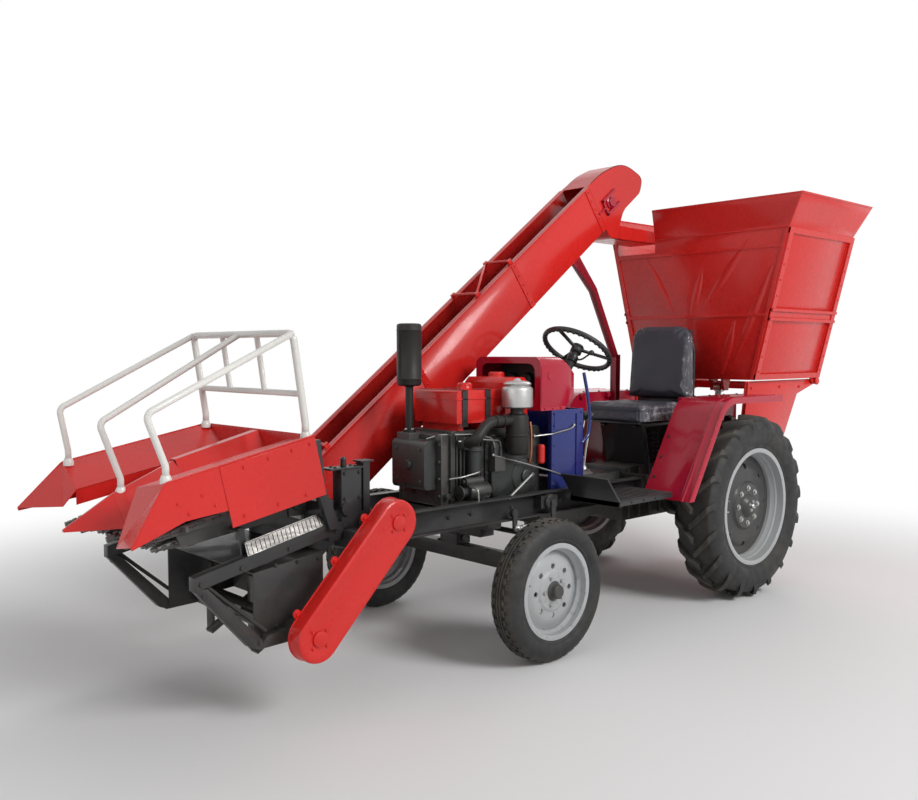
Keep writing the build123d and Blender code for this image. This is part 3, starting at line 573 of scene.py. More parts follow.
def rear_tyre():
    half, bead, rim, top = 120, 309, 326, 508.8
    flank = [(bead, 90), (318, 95), (rim + 4, 97), (336, 101), (344, 101), (352, 106), (372, 115),
             (404, half - 1), (430, 117), (452, 110), (468, 101), (476, 92), (480, 40)]
    tyre = Shape().turned([(r, -y) for r, y in flank] + flank[::-1], (0, 0, 0), sides=76)
    lugs, stations = 19, 7
    for side in (1, -1):
        for k in range(lugs):
            turn = 2 * math.pi / lugs * (k + (0.5 if side < 0 else 0))
            rings = []
            for j in range(stations):
                t = j / (stations - 1)
                across = -6 + (half + 3) * t
                lead = -62 + 118 * t ** 1.12
                crown = top - 14 * t ** 2 - (26 if j == stations - 1 else 0)
                foot = 462 - 30 * t ** 3
                width_top, width_low = 15 + 3 * t, 21 + 5 * t
                ring = []
                for u, r in ((-width_low, foot), (-width_top, crown), (width_top, crown), (width_low, foot)):
                    a = turn + (lead + u) / 480
                    ring.append((r * math.cos(a), side * across, r * math.sin(a)))
                rings.append(ring)
            tyre.skin(rings)
    return tyre


def rear_rim():
    ring = [(326, -100), (326, -95), (307, -93), (303, -62), (288, -52), (288, 22), (303, 34), (307, 93),
            (326, 95),
            (326, 100), (318, 102), (301, 99), (297, 60), (292, 54), (290, 40), (282, 26), (282, -56),
            (297, -66), (301, -99)]
    rim = Shape().turned(ring, (0, 0, 0), sides=96)
    rim.rod((296, 74, 0), (278, 96, 0), 5, sides=12)
    return rim


def rear_disc():
    face = [(284, 0), (284, 8), (262, 9), (236, 10), (224, 20), (206, 26), (150, 26), (138, 30), (126, 44),
            (96, 47), (40, 46), (40, 36), (122, 36), (146, 18), (202, 18), (232, 2)]
    disc = Shape().turned(face, (0, 0, 0), sides=72)
    disc.turned([(0, 74), (38, 74), (46, 70), (56, 60), (64, 52), (70, 44), (70, -62), (0, -62)], (0, 0, 0),
                sides=40)
    return disc


def ring_spots(radius, count, y, start=0.0):
    angles = [start + 2 * math.pi * k / count for k in range(count)]
    return [(radius * math.cos(a), y, radius * math.sin(a)) for a in angles]


def wheel_holes(radius, count, size, y):
    holes = Shape()
    for x, _, z in ring_spots(radius, count, 0):
        holes.across(x, z, size, y)
    return holes


def front_tyre():
    half, top = 70, 318
    flank = [(199, 47), (209, 52), (218, 55), (226, 61), (233, 61), (240, 65), (262, half - 1), (280, 67),
             (294, 61), (303, 53), (309, 42), (310, 20)]
    tyre = Shape().turned([(r, -y) for r, y in flank] + flank[::-1], (0, 0, 0), sides=64)
    for low, high in ((-13, -2), (2, 13)):
        tyre.turned([(306, low), (top - 0.2, low + 1), (top - 0.2, high - 1), (306, high)], (0, 0, 0),
                    sides=72)
    blocks = 44
    for side in (1, -1):
        for k in range(blocks):
            for low, high, crown, drop, shift in ((17, 30, top - 0.6, 0, 0.0), (33, 52, top - 3, 9, 0.5)):
                a = 2 * math.pi * (k + shift) / blocks
                step = 2 * math.pi / blocks
                rings = []
                for y, r in ((low, crown), (high, crown - drop)):
                    ring = []
                    for share, radius in ((-0.34, 296), (-0.29, r), (0.29, r), (0.34, 296)):
                        b = a + share * step
                        ring.append((radius * math.cos(b), side * y, radius * math.sin(b)))
                    rings.append(ring)
                tyre.skin(rings)
    return tyre


def front_rim():
    outer = [(215, -57), (215, -53), (198, -51), (196, -34), (184, -28), (184, 12), (196, 20), (198, 51),
             (215, 53),
             (215, 57), (207, 58), (193, 56), (191, 30), (187, 24), (179, 16), (179, -32), (191, -38),
             (193, -56)]
    rim = Shape().turned(outer, (0, 0, 0), sides=72)
    rim.turned([(181, -4), (181, 2), (170, 5), (158, 12), (136, 24), (124, 27), (96, 27), (84, 34), (30, 35),
                (30, 28), (74, 28), (88, 20), (124, 20), (154, 5)], (0, 0, 0), sides=72)
    return rim


for side, word in ((1, "left"), (-1, "right")):
    at = on_wheel(side, REAR_AXLE[0], REAR_AXLE[1], REAR_HALF_TRACK)
    body, node = f"wheel_rear_{word}", f"rim_rear_{word}"
    piece(f"tyre_rear_{word}_moulded", rear_tyre().moved(at), body, "tyre_rubber", "tyre_rear",
          (f"tyre_rear_{word}",), bevel=3.0, angle=40)
    piece(f"rim_rear_{word}_ring", rear_rim().moved(at), body, "silver_rim_paint", None, (node,), bevel=1.5)
    piece(f"rim_rear_{word}_disc", rear_disc().moved(at), body, "silver_rim_paint", "dark_disc_paint",
          (node,),
          bevel=1.5, cut=wheel_holes(219, 8, 15, (-10, 60)).moved(at))
    bolts = Shape().bolts(ring_spots(98, 8, 46.5), (0, 1, 0), 12)
    bolts.bolts(ring_spots(24, 4, 73, 0.4), (0, 1, 0), 7)
    bolts.turned([(0, 74), (14, 74), (14, 82), (9, 86), (0, 86)], (0, 0, 0), sides=20)
    bolts.rod((276, 62, 60), (270, 92, 58), 4, sides=10)
    piece(f"rim_rear_{word}_bolts", bolts.moved(at), body, "bare_steel", bevel=0.5)

    at = on_wheel(side, FRONT_AXLE[0], FRONT_AXLE[1], FRONT_HALF_TRACK)
    body, node = f"wheel_front_{word}", f"rim_front_{word}"
    piece(f"tyre_front_{word}_moulded", front_tyre().moved(at), body, "tyre_rubber", "tyre_front",
          (f"tyre_front_{word}",), bevel=1.2, angle=40)
    piece(f"rim_front_{word}_pressed", front_rim().moved(at), body, "silver_rim_paint", None, (node,),
          bevel=1.2, cut=wheel_holes(110, 8, 12, (-20, 60)).moved(at))
    hub = Shape().turned([(0, 69), (26, 69), (31, 64), (34, 46), (42, 37), (45, 34), (45, -68), (0, -68)],
                         (0, 0, 0),
                         sides=36)
    piece(f"hub_front_{word}", hub.moved(at), body, "silver_rim_paint", "dark_disc_paint", bevel=1.0)
    valve = Shape().rod((170, 14, 52), (162, 46, 50), 4, sides=10).bolts(ring_spots(62, 5, 35), (0, 1, 0), 9)
    piece(f"valve_front_{word}", valve.moved(at), body, "bare_steel", bevel=0.4)


# Header

SLOT_EDGE = 232
SNOUTS = (
    # side, top corner X and Z at the front, tip X and Z, low inner corner X and Z, fall of the top inwards
    (1, 2195, 935, 2317, 735, 2290, 700, 27),
    (-1, 2230, 938, 2404, 775, 2300, 790, 85),
)


def header_hood():
    """Sheet hood over both rows: a snout at each side and the rear wall, with its lap seams."""
    half, t, rear, top = HOOD_HALF, SHEET, HOOD_REAR_X, 1060
    hood = Shape().cross([(-half, 890), (half, 890), (half, top), (-half, top)], (rear, rear + t))
    for side, front_x, front_z, tip_x, tip_z, low_x, low_z, fall in SNOUTS:
        wall = [(1549, 831), (1946, 753), (1948, 818), (2121, 798), (tip_x - 4, tip_z - 12), (tip_x, tip_z),
                (front_x, front_z), (rear, top)]
        lap = [(1549, 831), (1946, 753), (1996, 972), (rear, top - 6)]
        hood.side(wall, (side * half, side * (half - t)))
        hood.side(lap, (side * half, side * (half + 3)))
        edge, outer = side * SLOT_EDGE, side * half
        fall_rate = (top - front_z) / (front_x - rear)
        inner_front = (front_x + 16, edge, front_z - 16 * fall_rate - fall)
        inner_rear = (rear, edge, top - fall)
        hood.prism([(rear, outer, top), (front_x, outer, front_z), inner_front, inner_rear], (0, 0, -t))
        nose = [(front_x, outer, front_z), (tip_x, outer, tip_z), (low_x, edge, low_z)]
        hood.prism(nose, (-t, 0, -t / 2))
        hood.prism([nose[0], nose[2], inner_front], (-t, 0, -t / 2))
        skirt = 60
        low_front = (inner_front[0], edge, inner_front[2] - skirt)
        low_rear = (rear, edge, inner_rear[2] - skirt)
        hood.prism([inner_rear, inner_front, low_front, low_rear], (0, side * t, 0))
        hood.tube([(rear, outer, top), (front_x, outer, front_z), (tip_x - 4, outer, tip_z)], 3.5, bend=14,
                  sides=8)
    return hood


def ridge(shape, sections, wall=6):
    """A hollow ridge open below, through sections of (X, half width on top, top Z, half below, low Z)."""
    rings = []
    for x, top_half, top, low_half, low in sections:
        inner = max(top_half - 2, 1)
        rings.append([(x, -low_half, low), (x, -top_half, top), (x, top_half, top), (x, low_half, low),
                      (x, low_half - wall, low), (x, inner, top - wall), (x, -inner, top - wall),
                      (x, wall - low_half, low)])
    return shape.skin(rings)


def row_divider():
    """The middle snout: a narrow roof behind and a wider pyramid with a pointed nose in front."""
    joint = 1965
    divider = ridge(Shape(), [(HOOD_REAR_X + SHEET, 20, 1056, 80, 990), (joint, 20, 964, 80, 900)])
    ridge(divider, [(joint, 6, 958, 150, 880), (2205, 6, 855, 135, 745)])
    divider.cross([(-150, 880), (-6, 958), (6, 958), (150, 880), (150, 866), (-150, 866)],
                  (joint - 1, joint + 3))
    divider.skin([[(2205, -135, 745), (2205, -6, 855), (2205, 6, 855), (2205, 135, 745)],
                  [(2383, -9, 736), (2383, -4, 746), (2383, 4, 746), (2383, 9, 736)]])
    return divider


GUARD_FEET = ((2215, -388, 944), (2170, 0, 866), (2178, 388, 948), (1622, -388, 1062), (1622, 388, 1062))


def guard_feet():
    """Flanged feet that hold the white guard's tubes to the hood."""
    feet = Shape()
    for x, y, z in GUARD_FEET:
        feet.turned([(0, -20), (20, -20), (20, -2), (17, 4), (15, 10), (0, 10)], (x, y, z), "Z", 24)
    return feet


def hood_fittings():
    """Bolts of the hood's laps, skirts and rear wall."""
    fittings = Shape()
    for x, z in ((1622, 1036), (1700, 1018), (1800, 996), (1900, 972), (1640, 848), (1760, 826), (1900, 800)):
        for side in (1, -1):
            fittings.bolt((x, side * (HOOD_HALF + 3), z - 8), (0, side, 0), 6)
    for x, z in ((2010, 840), (2110, 822), (2060, 880), (2150, 860)):
        fittings.bolt((x, HOOD_HALF, z), (0, 1, 0), 5)
        fittings.bolt((x, -HOOD_HALF, z), (0, -1, 0), 5)
    for y in (-300, -120, 120, 300):
        fittings.bolt((HOOD_REAR_X, y, 1020), (-1, 0, 0), 6)
        fittings.bolt((HOOD_REAR_X, y, 920), (-1, 0, 0), 6)
    return fittings


ROW_Y = 195
CHAIN_REAR = (1700, 858)
CHAIN_FRONT = (2205, 741)
CHAIN_DROP = 24
CHAIN_FALL = (CHAIN_REAR[1] - CHAIN_FRONT[1]) / (CHAIN_FRONT[0] - CHAIN_REAR[0])
CHAIN_LENGTH = math.hypot(CHAIN_FRONT[0] - CHAIN_REAR[0], CHAIN_FRONT[1] - CHAIN_REAR[1])


def chain_place(x, y, drop):
    """A place on the chains' sloping plane, lowered by drop, looking down the slope."""
    z = CHAIN_REAR[1] - CHAIN_FALL * (x - CHAIN_REAR[0]) - drop
    return Matrix.Translation((x, y, z)) @ Matrix.Rotation(math.atan2(CHAIN_FALL, 1), 4, "Y")


def snapping_rolls():
    rolls = Shape()
    core, rib, length, nose = 28, 36, 370, 120
    for row in (-ROW_Y, ROW_Y):
        for side in (-1, 1):
            rolls.placing = chain_place(1690, row + side * 40, 74)
            rolls.rod((-60, 0, 0), (0, 0, 0), 16)
            rolls.rod((0, 0, 0), (length, 0, 0), core, sides=28)
            rolls.rod((length, 0, 0), (length + nose, 0, 0), core, 8, sides=28)
            for k in range(6):
                a = math.pi / 3 * k
                u, v = math.cos(a), math.sin(a)
                corners = [(10, u * r - v * w, v * r + u * w) for r,
                           w in ((core - 2, -4), (rib, -4), (rib, 4),
                                                                           (core - 2, 4))]
                rolls.prism(corners, (length - 16, 0, 0))
            for k in range(10):
                a = 2.1 * k
                u, v = math.cos(a), math.sin(a)
                x = length + 8 + nose * 0.085 * k
                r = core - (core - 8) * (x - length) / nose
                rolls.rod((x, u * (r - 2), v * (r - 2)), (x + 14, u * (r + 3), v * (r + 3)), 5, sides=8)
    return rolls


def row_units():
    units = Shape()
    deck_x = (1640, 2185)
    top = [CHAIN_REAR[1] - CHAIN_DROP - CHAIN_FALL * (x - CHAIN_REAR[0]) for x in deck_x]
    for row in (-ROW_Y, ROW_Y):
        units.box((1560, 1640), (row - 100, row + 100), (740, 846))
        units.across(1600, 793, 30, (row - 112, row + 112))
        for side in (-1, 1):
            plate = [(deck_x[0], top[0]), (deck_x[1], top[1]), (deck_x[1], top[1] - SHEET),
                     (deck_x[0], top[0] - 40)]
            units.side(plate, sorted((row + side * 18, row + side * 118)))
            web = [(deck_x[0], top[0] - 2), (deck_x[1] - 80, top[1] + 16), (deck_x[1] - 110, top[1] - 40),
                   (deck_x[0], top[0] - 110)]
            units.side(web, sorted((row + side * 86, row + side * 90)))
            units.bolts([(1640, row + side * 60, 770), (1640, row + side * 60, 820)], (1, 0, 0), 7)
    return units


def gathering_chains():
    """Lugged chains round their sprockets: side plates, rollers and tall lugs."""
    chains = Shape()
    out, thick = 45, 12
    pitch = 31.5
    straight = CHAIN_LENGTH
    half_turn = math.pi * (out - 5)
    total = 2 * straight + 2 * half_turn

    def on_loop(s):
        """Place and heading at a distance round the loop."""
        s %= total
        r = out - 5
        if s < straight:
            return (s, r, 0.0)
        s -= straight
        if s < half_turn:
            a = s / r
            return (straight + r * math.sin(a), r * math.cos(a), -a)
        s -= half_turn
        if s < straight:
            return (straight - s, -r, -math.pi)
        a = (s - straight) / r
        return (-r * math.sin(a), -r * math.cos(a), -math.pi - a)

    count = int(total / pitch)
    for y in (-ROW_Y - 80, 80 - ROW_Y, ROW_Y - 80, ROW_Y + 80):
        outward = 1 if y in (-ROW_Y - 80, ROW_Y - 80) else -1
        base = chain_place(CHAIN_REAR[0], y, CHAIN_DROP)
        chains.placing = base
        for x in (0, straight):
            chains.turned([(0, 0), (34, 0), (34, 9), (20, 10), (16, 22), (0, 22)], (x, 0, 0), "Z", 24)
            for k in range(11):
                a = 2 * math.pi * k / 11
                chains.rod((x + 34 * math.cos(a), 34 * math.sin(a), 5),
                           (x + 42 * math.cos(a), 42 * math.sin(a), 5), 5,
                           3, sides=8)
        for k in range(count):
            u, v, heading = on_loop(k * total / count)
            chains.placing = base @ Matrix.Translation((u, v * outward,
                                                        0)) @ Matrix.Rotation(heading * outward, 4, "Z")
            length = 19 if k % 2 else 17
            for z in ((0, 2.5), (9.5, 12)) if k % 2 else ((3, 5), (7, 9)):
                chains.box((-length, length), (-7, 7), z)
            chains.rod((-15, 0, -0.5), (-15, 0, 12.5), 4.5, sides=10)
            if k % 6 == 0:
                chains.prism([(-14, 4 * outward, 0), (10, 4 * outward, 0), (4, 31 * outward, 0),
                              (-8, 31 * outward, 0)],
                             (0, 0, thick + 8))
    chains.placing = Matrix.Identity(4)
    return chains


piece("hood_sheets", header_hood(), "header", "red_paint", None, ("header_hood",), bevel=1.2)
piece("hood_divider", row_divider(), "header", "red_paint", None, ("header_hood",), bevel=2.0)
piece("hood_fittings", hood_fittings(), "header", "red_paint", bevel=0.6)
piece("guard_feet", guard_feet(), "header", "white_tube_paint", bevel=0.6)
piece("snapping_rolls", snapping_rolls(), "header", "bare_steel", "roll_steel", ("row_units",), bevel=0.8)
piece("row_decks", row_units(), "header", "bare_steel", "engine_iron", ("row_units",), bevel=1.0)
piece("lugged_chains", gathering_chains(), "header", "engine_iron", None, ("gathering_chains",), bevel=0.0)


def header_trim():
    """Bolts, gussets, weld beads and small fittings of the header's frame."""
    trim = Shape()
    for side in (1, -1):
        y = side * 390
        for x, z in ((1490, 680), (1700, 640), (1900, 598), (2060, 565), (2050, 520), (1830, 310),
                     (1700, 310)):
            trim.bolt((x, y, z), (0, side, 0), 8)
        trim.tube([(2035, side * 370, 556), (1960, side * 367, 488), (1790, side * 364, 340)], 8, bend=10)
        trim.box((1866, 1890), sorted((side * 255, side * 350)), (722, 734))
        trim.side([(1866, 734), (1890, 734), (1870, 600), (1846, 600)], sorted((side * 340, side * 352)))
        trim.turned([(0, 0), (36, 0), (40, side * 6), (26, side * 14), (0, side * 14)],
                    (COVER_LOW[0], y, COVER_LOW[1]))
    trim.side([(1355, 915), (1515, 915), (1515, 922), (1355, 922)], (324, 396))
    trim.side([(1318, 690), (1350, 690), (1350, 935), (1318, 935)], (334, 384))
    trim.side([(1350, 700), (1365, 700), (1365, 740), (1350, 740)], (334, 384))
    trim.box((1300, 1362), (330, 388), (935, 941))
    for x in (1375, 1445):
        for z in (690, 800, 900):
            trim.bolt((x, 390, z), (0, 1, 0), 7)
    trim.across(1440, 760, 26, (390, 402))
    trim.bolts([(1385, 345, 922), (1385, 375, 922), (1480, 345, 922), (1480, 375, 922)], (0, 0, 1), 6)
    trim.rod((1430, 360, 922), (1430, 360, 944), 12).ball((1430, 360, 950), 12)
    return trim


def ribbed_plate():
    """The ribbed plate that stands along the top of the header's near beam, with its folded upper edge."""
    start, end, low_y, high_y, rise = (1547, 704), (1873, 634), 386, 362, 48
    plate = Shape()

    def spot(t, share, out):
        """A place along the plate, up its slanted face and out from it."""
        x, z = (a + (b - a) * t for a, b in zip(start, end))
        return (x, low_y + (high_y - low_y) * share + out, z + rise * share + out * 0.4)

    plate.skin([[spot(t, 0, 0), spot(t, 1, 0), spot(t, 1, 6), spot(t, 0.93, 6), spot(t, 0.91, 3),
                 spot(t, 0, 3)]
                for t in (0, 1)])
    count = 18
    for k in range(count):
        t = (k + 0.3) / count
        rings = [[spot(t + u, share, out) for u, out in ((0, 2), (0.006, 6), (0.022, 6), (0.028, 2))]
                 for share in (0.08, 0.84)]
        plate.skin(rings)
    return plate


piece("header_trim", header_trim(), "header", "dark_frame_paint", bevel=0.8)
piece("ribbed_plate", ribbed_plate(), "header", "bare_steel", "roll_steel", bevel=0.5)


def capsule(a, b, radius, steps=20):
    """A closed outline of (X, Z) points round two centres."""
    angle = math.atan2(b[1] - a[1], b[0] - a[0])
    path = []
    for centre, start in ((b, angle - math.pi / 2), (a, angle + math.pi / 2)):
        for k in range(steps + 1):
            t = start + math.pi * k / steps
            path.append((centre[0] + radius * math.cos(t), centre[1] + radius * math.sin(t)))
    return path


def chain_cover():
    cover = Shape()
    rings = []
    for y, grow in ((470, 3), (475, 3), (475, 0), (528, 0), (536, -3), (540, -10), (540, -30), (537, -36),
                    (537, -89)):
        rings.append([(px, y, pz) for px, pz in capsule(COVER_TOP, COVER_LOW, 92 + grow)])
    cover.skin(rings)
    run = Vector((COVER_LOW[0] - COVER_TOP[0], COVER_LOW[1] - COVER_TOP[1])).normalized()
    for share in (0.12, 0.5, 0.95):
        for side in (-1, 1):
            x = COVER_TOP[0] + (COVER_LOW[0] - COVER_TOP[0]) * share - side * run.y * 104
            z = COVER_TOP[1] + (COVER_LOW[1] - COVER_TOP[1]) * share + side * run.x * 104
            cover.across(x, z, 17, (470, 476))
            cover.bolt((x, 476, z), (0, 1, 0), 8)
    for x, z in (COVER_TOP, COVER_LOW):
        cover.turned([(0, 537), (30, 537), (30, 543), (22, 546), (0, 546)], (x, 0, z), sides=28)
        for k in range(4):
            a = math.pi / 4 + math.pi / 2 * k
            cover.bolt((x + 42 * math.cos(a), 537, z + 42 * math.sin(a)), (0, 1, 0), 6)
    return cover


piece("chain_cover_pressed", chain_cover(), "header", "red_paint", None, ("chain_cover",), bevel=0.8)


def chopper_trim():
    """Bolt rows and stiffeners of the chopper's box."""
    trim = Shape()
    for side in (1, -1):
        for x in (1545, 1640, 1735):
            trim.bolt((x, side * 350, 575), (0, side, 0), 7)
            trim.bolt((x, side * 350, 345), (0, side, 0), 7)
    for y in (-230, -80, 80, 230):
        trim.box((1515, 1523), (y - 4, y + 4), (345, 585))
    for y in (-250, -125, 0, 125, 250):
        trim.bolt((1560, y, 596), (0.1, 0, 1), 6)
    return trim


piece("chopper_trim", chopper_trim(), "header", "dark_frame_paint", bevel=0.6)


# Engine and what stands on it

ENGINE_Y = (-190, 150)


def engine():
    """Single-cylinder diesel engine lying along X: crankcase, ribbed cylinder, head and rocker cover."""
    right, left = ENGINE_Y
    block = Shape()
    block.side(rounded([(60, 625), (470, 625), (470, 1000), (60, 1000)], [20, 0, 18, 30]), (right, left))
    block.box((80, 640), (right, left), (600, 625))
    for x in (110, 560):
        block.box((x, x + 90), (left, RAIL_Y[0]), (640, 675))
        block.box((x, x + 90), (-RAIL_Y[0], right), (640, 675))
    block.box((470, 640), (right + 25, left - 25), (650, 1000))
    for x in range(476, 640, 24):
        block.side(rounded([(x, 632), (x + 9, 632), (x + 9, 978), (x, 978)], [3, 3, 3, 3], 2),
                   (right + 4, left - 4))
    block.side(rounded([(640, 640), (668, 640), (668, 990), (640, 990)], [8, 8, 8, 8]), (right, left))
    block.box((668, 715), (right + 15, left - 15), (655, 985))
    block.side(rounded([(715, 730), (790, 730), (790, 960), (715, 960)], [4, 26, 26, 4]), (-135, 100))
    block.box((668, 775), (-115, -20), (940, 990))
    block.across(300, 885, 28, (right - 13.8, right))
    return block


def engine_cover():
    """Timing cover with its bolt rim, governor bulge and pump on the engine's left side."""
    face = ENGINE_Y[1]
    x, z = (95, 455), (650, 975)
    outline = [(x[0], z[0]), (x[1], z[0]), (x[1], z[1]), (x[0], z[1])]
    cover = Shape().side(rounded(outline, [60, 60, 60, 60], 8), (face, face + 12))
    inner = [(x[0] + 16, z[0] + 16), (x[1] - 16, z[0] + 16), (x[1] - 16, z[1] - 16), (x[0] + 16, z[1] - 16)]
    rings = []
    for out, shrink in ((12, 0), (34, 3), (40, 12)):
        points = [(px + (shrink if px < 250 else -shrink), pz + (shrink if pz < 800 else -shrink)) for px,
                  pz in inner]
        rings.append([(px, face + out, pz) for px, pz in rounded(points, [48] * 4, 8)])
    cover.skin(rings)
    cover.turned([(0, 0), (90, 0), (90, 40), (84, 47), (60, 50), (34, 50), (34, 60), (28, 64), (0, 64)],
                 (215, face, 760), sides=40)
    cover.box((370, 440), (face + 20, face + 62), (800, 870))
    for px in (385, 425):
        cover.rod((px, face + 44, 870), (px, face + 44, 905), 11, 9)
        cover.rod((px, face + 44, 905), (px, face + 44, 914), 7)
    for k in range(6):
        for pz in (z[0] + 8, z[1] - 8):
            cover.bolt((x[0] + 55 + 50 * k, face + 12, pz), (0, 1, 0), 7)
    for pz in (720, 790, 860, 920):
        cover.bolt((x[0] + 8, face + 12, pz), (0, 1, 0), 7)
        cover.bolt((x[1] - 8, face + 12, pz), (0, 1, 0), 7)
    return cover


def engine_fittings():
    """Starter, filter, inlet stub, drain cock, sump plugs and head nuts."""
    face = ENGINE_Y[1]
    parts = Shape()
    parts.turned([(0, 0), (40, 0), (40, 120), (36, 128), (22, 130), (22, 160), (34, 166), (34, 176),
                  (0, 176)],
                 (470, face + 30, 715), "X", 28)
    parts.rod((500, face + 30, 765), (610, face + 30, 765), 20, sides=20)
    parts.rod((610, face + 30, 765), (622, face + 30, 765), 8)
    parts.turned([(0, 0), (26, 0), (34, 10), (34, 112), (40, 116), (40, 134), (30, 138), (0, 138)],
                 (540, face + 22, 790), "Z", 28)
    parts.box((520, 560), (face - 30, face + 10), (880, 925))
    parts.rod((600, 190, 945), (600, 120, 945), 30)
    parts.rod((690, face - 20, 700), (690, face + 12, 700), 14)
    for z in (700, 780, 860, 940):
        for y in (-160, -60, 30, 120):
            parts.bolt((715, y, z), (1, 0, 0), 9)
    parts.bolts([(790, -100, 770), (790, 70, 770), (790, -100, 920), (790, 70, 920)], (1, 0, 0), 8)
    parts.rod((790, -15, 845), (806, -15, 845), 26, 22)
    for x in (120, 220, 320, 420):
        parts.bolt((x, -100, 1000), (0, 0, 1), 8)
        parts.bolt((x, 110, 1000), (0, 0, 1), 8)
    return parts


def engine_pipes():
    """Injector and oil pipes."""
    pipes = Shape()
    pipes.tube([(425, 194, 912), (440, 196, 960), (560, 190, 985), (700, 100, 985), (740, 60, 965)], 4, 30, 8)
    pipes.tube([(385, 194, 912), (395, 200, 945), (520, 198, 960), (640, 170, 955)], 4, 24, 8)
    pipes.tube([(687, 160, 782), (640, 196, 790), (540, 205, 806), (512, 190, 815)], 5, 20, 8)
    pipes.tube([(540, 172, 930), (540, 172, 960), (500, 190, 1000), (470, 150, 1034)], 5, 18, 8)
    pipes.tube([(595, 200, 742), (595, 256, 738), (594, 258, 700), (590, 258, 670)], 5, 18, 8)
    return pipes


def control_rods():
    """Long thin control rods, the return spring's bar and the bent stop lever."""
    rods = Shape()
    rods.tube([(450, 208, 880), (320, 218, 846), (80, 236, 778), (-90, 240, 723)], 4, 40, 8)
    rods.tube([(161, 206, 953), (60, 238, 960), (-80, 240, 980), (-106, 240, 996)], 4, 12, 8)
    rods.rod((360, 231, 671), (189, 220, 766), 8, sides=12)
    for x, y, z in ((450, 208, 880), (-90, 236, 723), (161, 206, 953), (-106, 236, 996)):
        rods.ball((x, y, z), 9, 12)
    rods.bolt((360, 233, 671), (0, 1, 0), 8).bolt((189, 222, 766), (0, 1, 0), 8)
    return rods


piece("engine_castings", engine(), "chassis", "engine_iron", None, ("engine_block",), bevel=2.0)
piece("engine_cover", engine_cover(), "chassis", "engine_iron", bevel=1.2)
piece("engine_fittings", engine_fittings(), "chassis", "engine_iron", bevel=0.8)
piece("engine_pipes", engine_pipes(), "chassis", "bare_steel", "rod_steel", bevel=0)
piece("control_rods", control_rods(), "chassis", "bare_steel", "rod_steel", bevel=0)
return_pipe = Shape().tube([(192, 206, 1026), (190, 212, 980), (189, 212, 860), (189, 200, 819)], 7, 20, 10)
piece("return_pipe", return_pipe, "chassis", "bare_steel", "copper", bevel=0)
strainer = Shape().turned([(0, 0), (12, 0), (19, 8), (19, 88), (14, 96), (0, 96)], (108, 205, 812), "Z", 24)
piece("fuel_strainer", strainer, "chassis", "red_paint", bevel=0.6)


def muffler():
    x, y = 735, -70
    low, high, r = 1210, 1505, 59
    can = [(0, 990), (32, 990), (32, 1000), (19, 1003), (19, low - 6), (24, low - 2), (r - 12, low),
           (r - 3, low + 5),
           (r, low + 12), (r, low + 30), (r + 2, low + 33), (r, low + 36), (r, high - 36), (r + 2, high - 33),
           (r, high - 30), (r, high - 12), (r - 3, high - 5), (r - 12, high - 1), (24, high - 1),
           (22, high - 14), (0, high - 14)]
    pipe = Shape().turned(can, (x, y, 0), "Z", 40)
    pipe.rod((x - 4, y, 1000), (x - 4, y, 1004), 40, sides=4)
    pipe.tube([(x + 58, y, 1240), (x + 62, y, 1300), (x + 62, y, 1420), (x + 58, y, 1480)], 2.5, 20, 6)
    return pipe


piece("muffler_can", muffler(), "chassis", "muffler_black", None, ("exhaust_muffler",), bevel=0)
heat_bolts = Shape().bolts([(735, -48, 1003), (735, -92, 1003), (757, -70, 1003), (713, -70, 1003)],
                           (0, 0, 1), 6)
piece("muffler_bolts", heat_bolts, "chassis", "bare_steel", bevel=0.4)


def tank_trim():
    """Welded rim round the tank and its cap."""
    y, rim = (-140, 160), 1150
    trim = Shape()
    ring = rounded([(355, y[0] - 6), (646, y[0] - 6), (646, y[1] + 6), (355, y[1] + 6)], [16, 16, 16, 16])
    trim.flat(ring, (rim - 3, rim + 3))
    trim.turned([(0, 0), (38, 0), (38, 8), (36, 12), (36, 26), (30, 32), (0, 33)], (480, 40, 1190), "Z", 32)
    for k in range(12):
        a = math.pi / 6 * k
        trim.rod((480 + 36 * math.cos(a), 40 + 36 * math.sin(a), 1200),
                 (480 + 36 * math.cos(a), 40 + 36 * math.sin(a), 1216), 3, sides=6)
    return trim


def tank_straps():
    straps = Shape()
    for x in (424, 574):
        straps.side([(x, 1188), (x + 34, 1188), (x + 34, 1192), (x, 1192)], (-146, 166))
        for y in (-146, 162):
            straps.box((x, x + 34), (y, y + 4), (1020, 1192))
            straps.bolt((x + 17, y + (4 if y > 0 else 0), 1052), (0, 1 if y > 0 else -1, 0), 6)
    straps.rod((500, 60, 1035), (500, 60, 1006), 9).rod((500, 60, 1012), (536, 60, 1012), 4)
    return straps


def radiator_trim():
    """Band, filler cap and bolts of the water hopper's hood."""
    trim = Shape().box((144, 318), (-141, 156), (1118, 1128))
    trim.turned([(0, 0), (44, 0), (44, 6), (40, 10), (40, 24), (34, 30), (0, 31)], (231, 10, 1240), "Z", 32)
    trim.bolts([(250, 156, 1123), (180, 156, 1123), (300, 156, 1123)], (0, 1, 0), 6)
    trim.bolts([(250, -141, 1123), (180, -141, 1123), (300, -141, 1123)], (0, -1, 0), 6)
    return trim


piece("tank_trim", tank_trim(), "chassis", "red_paint", bevel=0.8)
piece("tank_straps", tank_straps(), "chassis", "dark_frame_paint", bevel=0.6)
piece("water_hood_trim", radiator_trim(), "chassis", "red_paint", bevel=0.8)


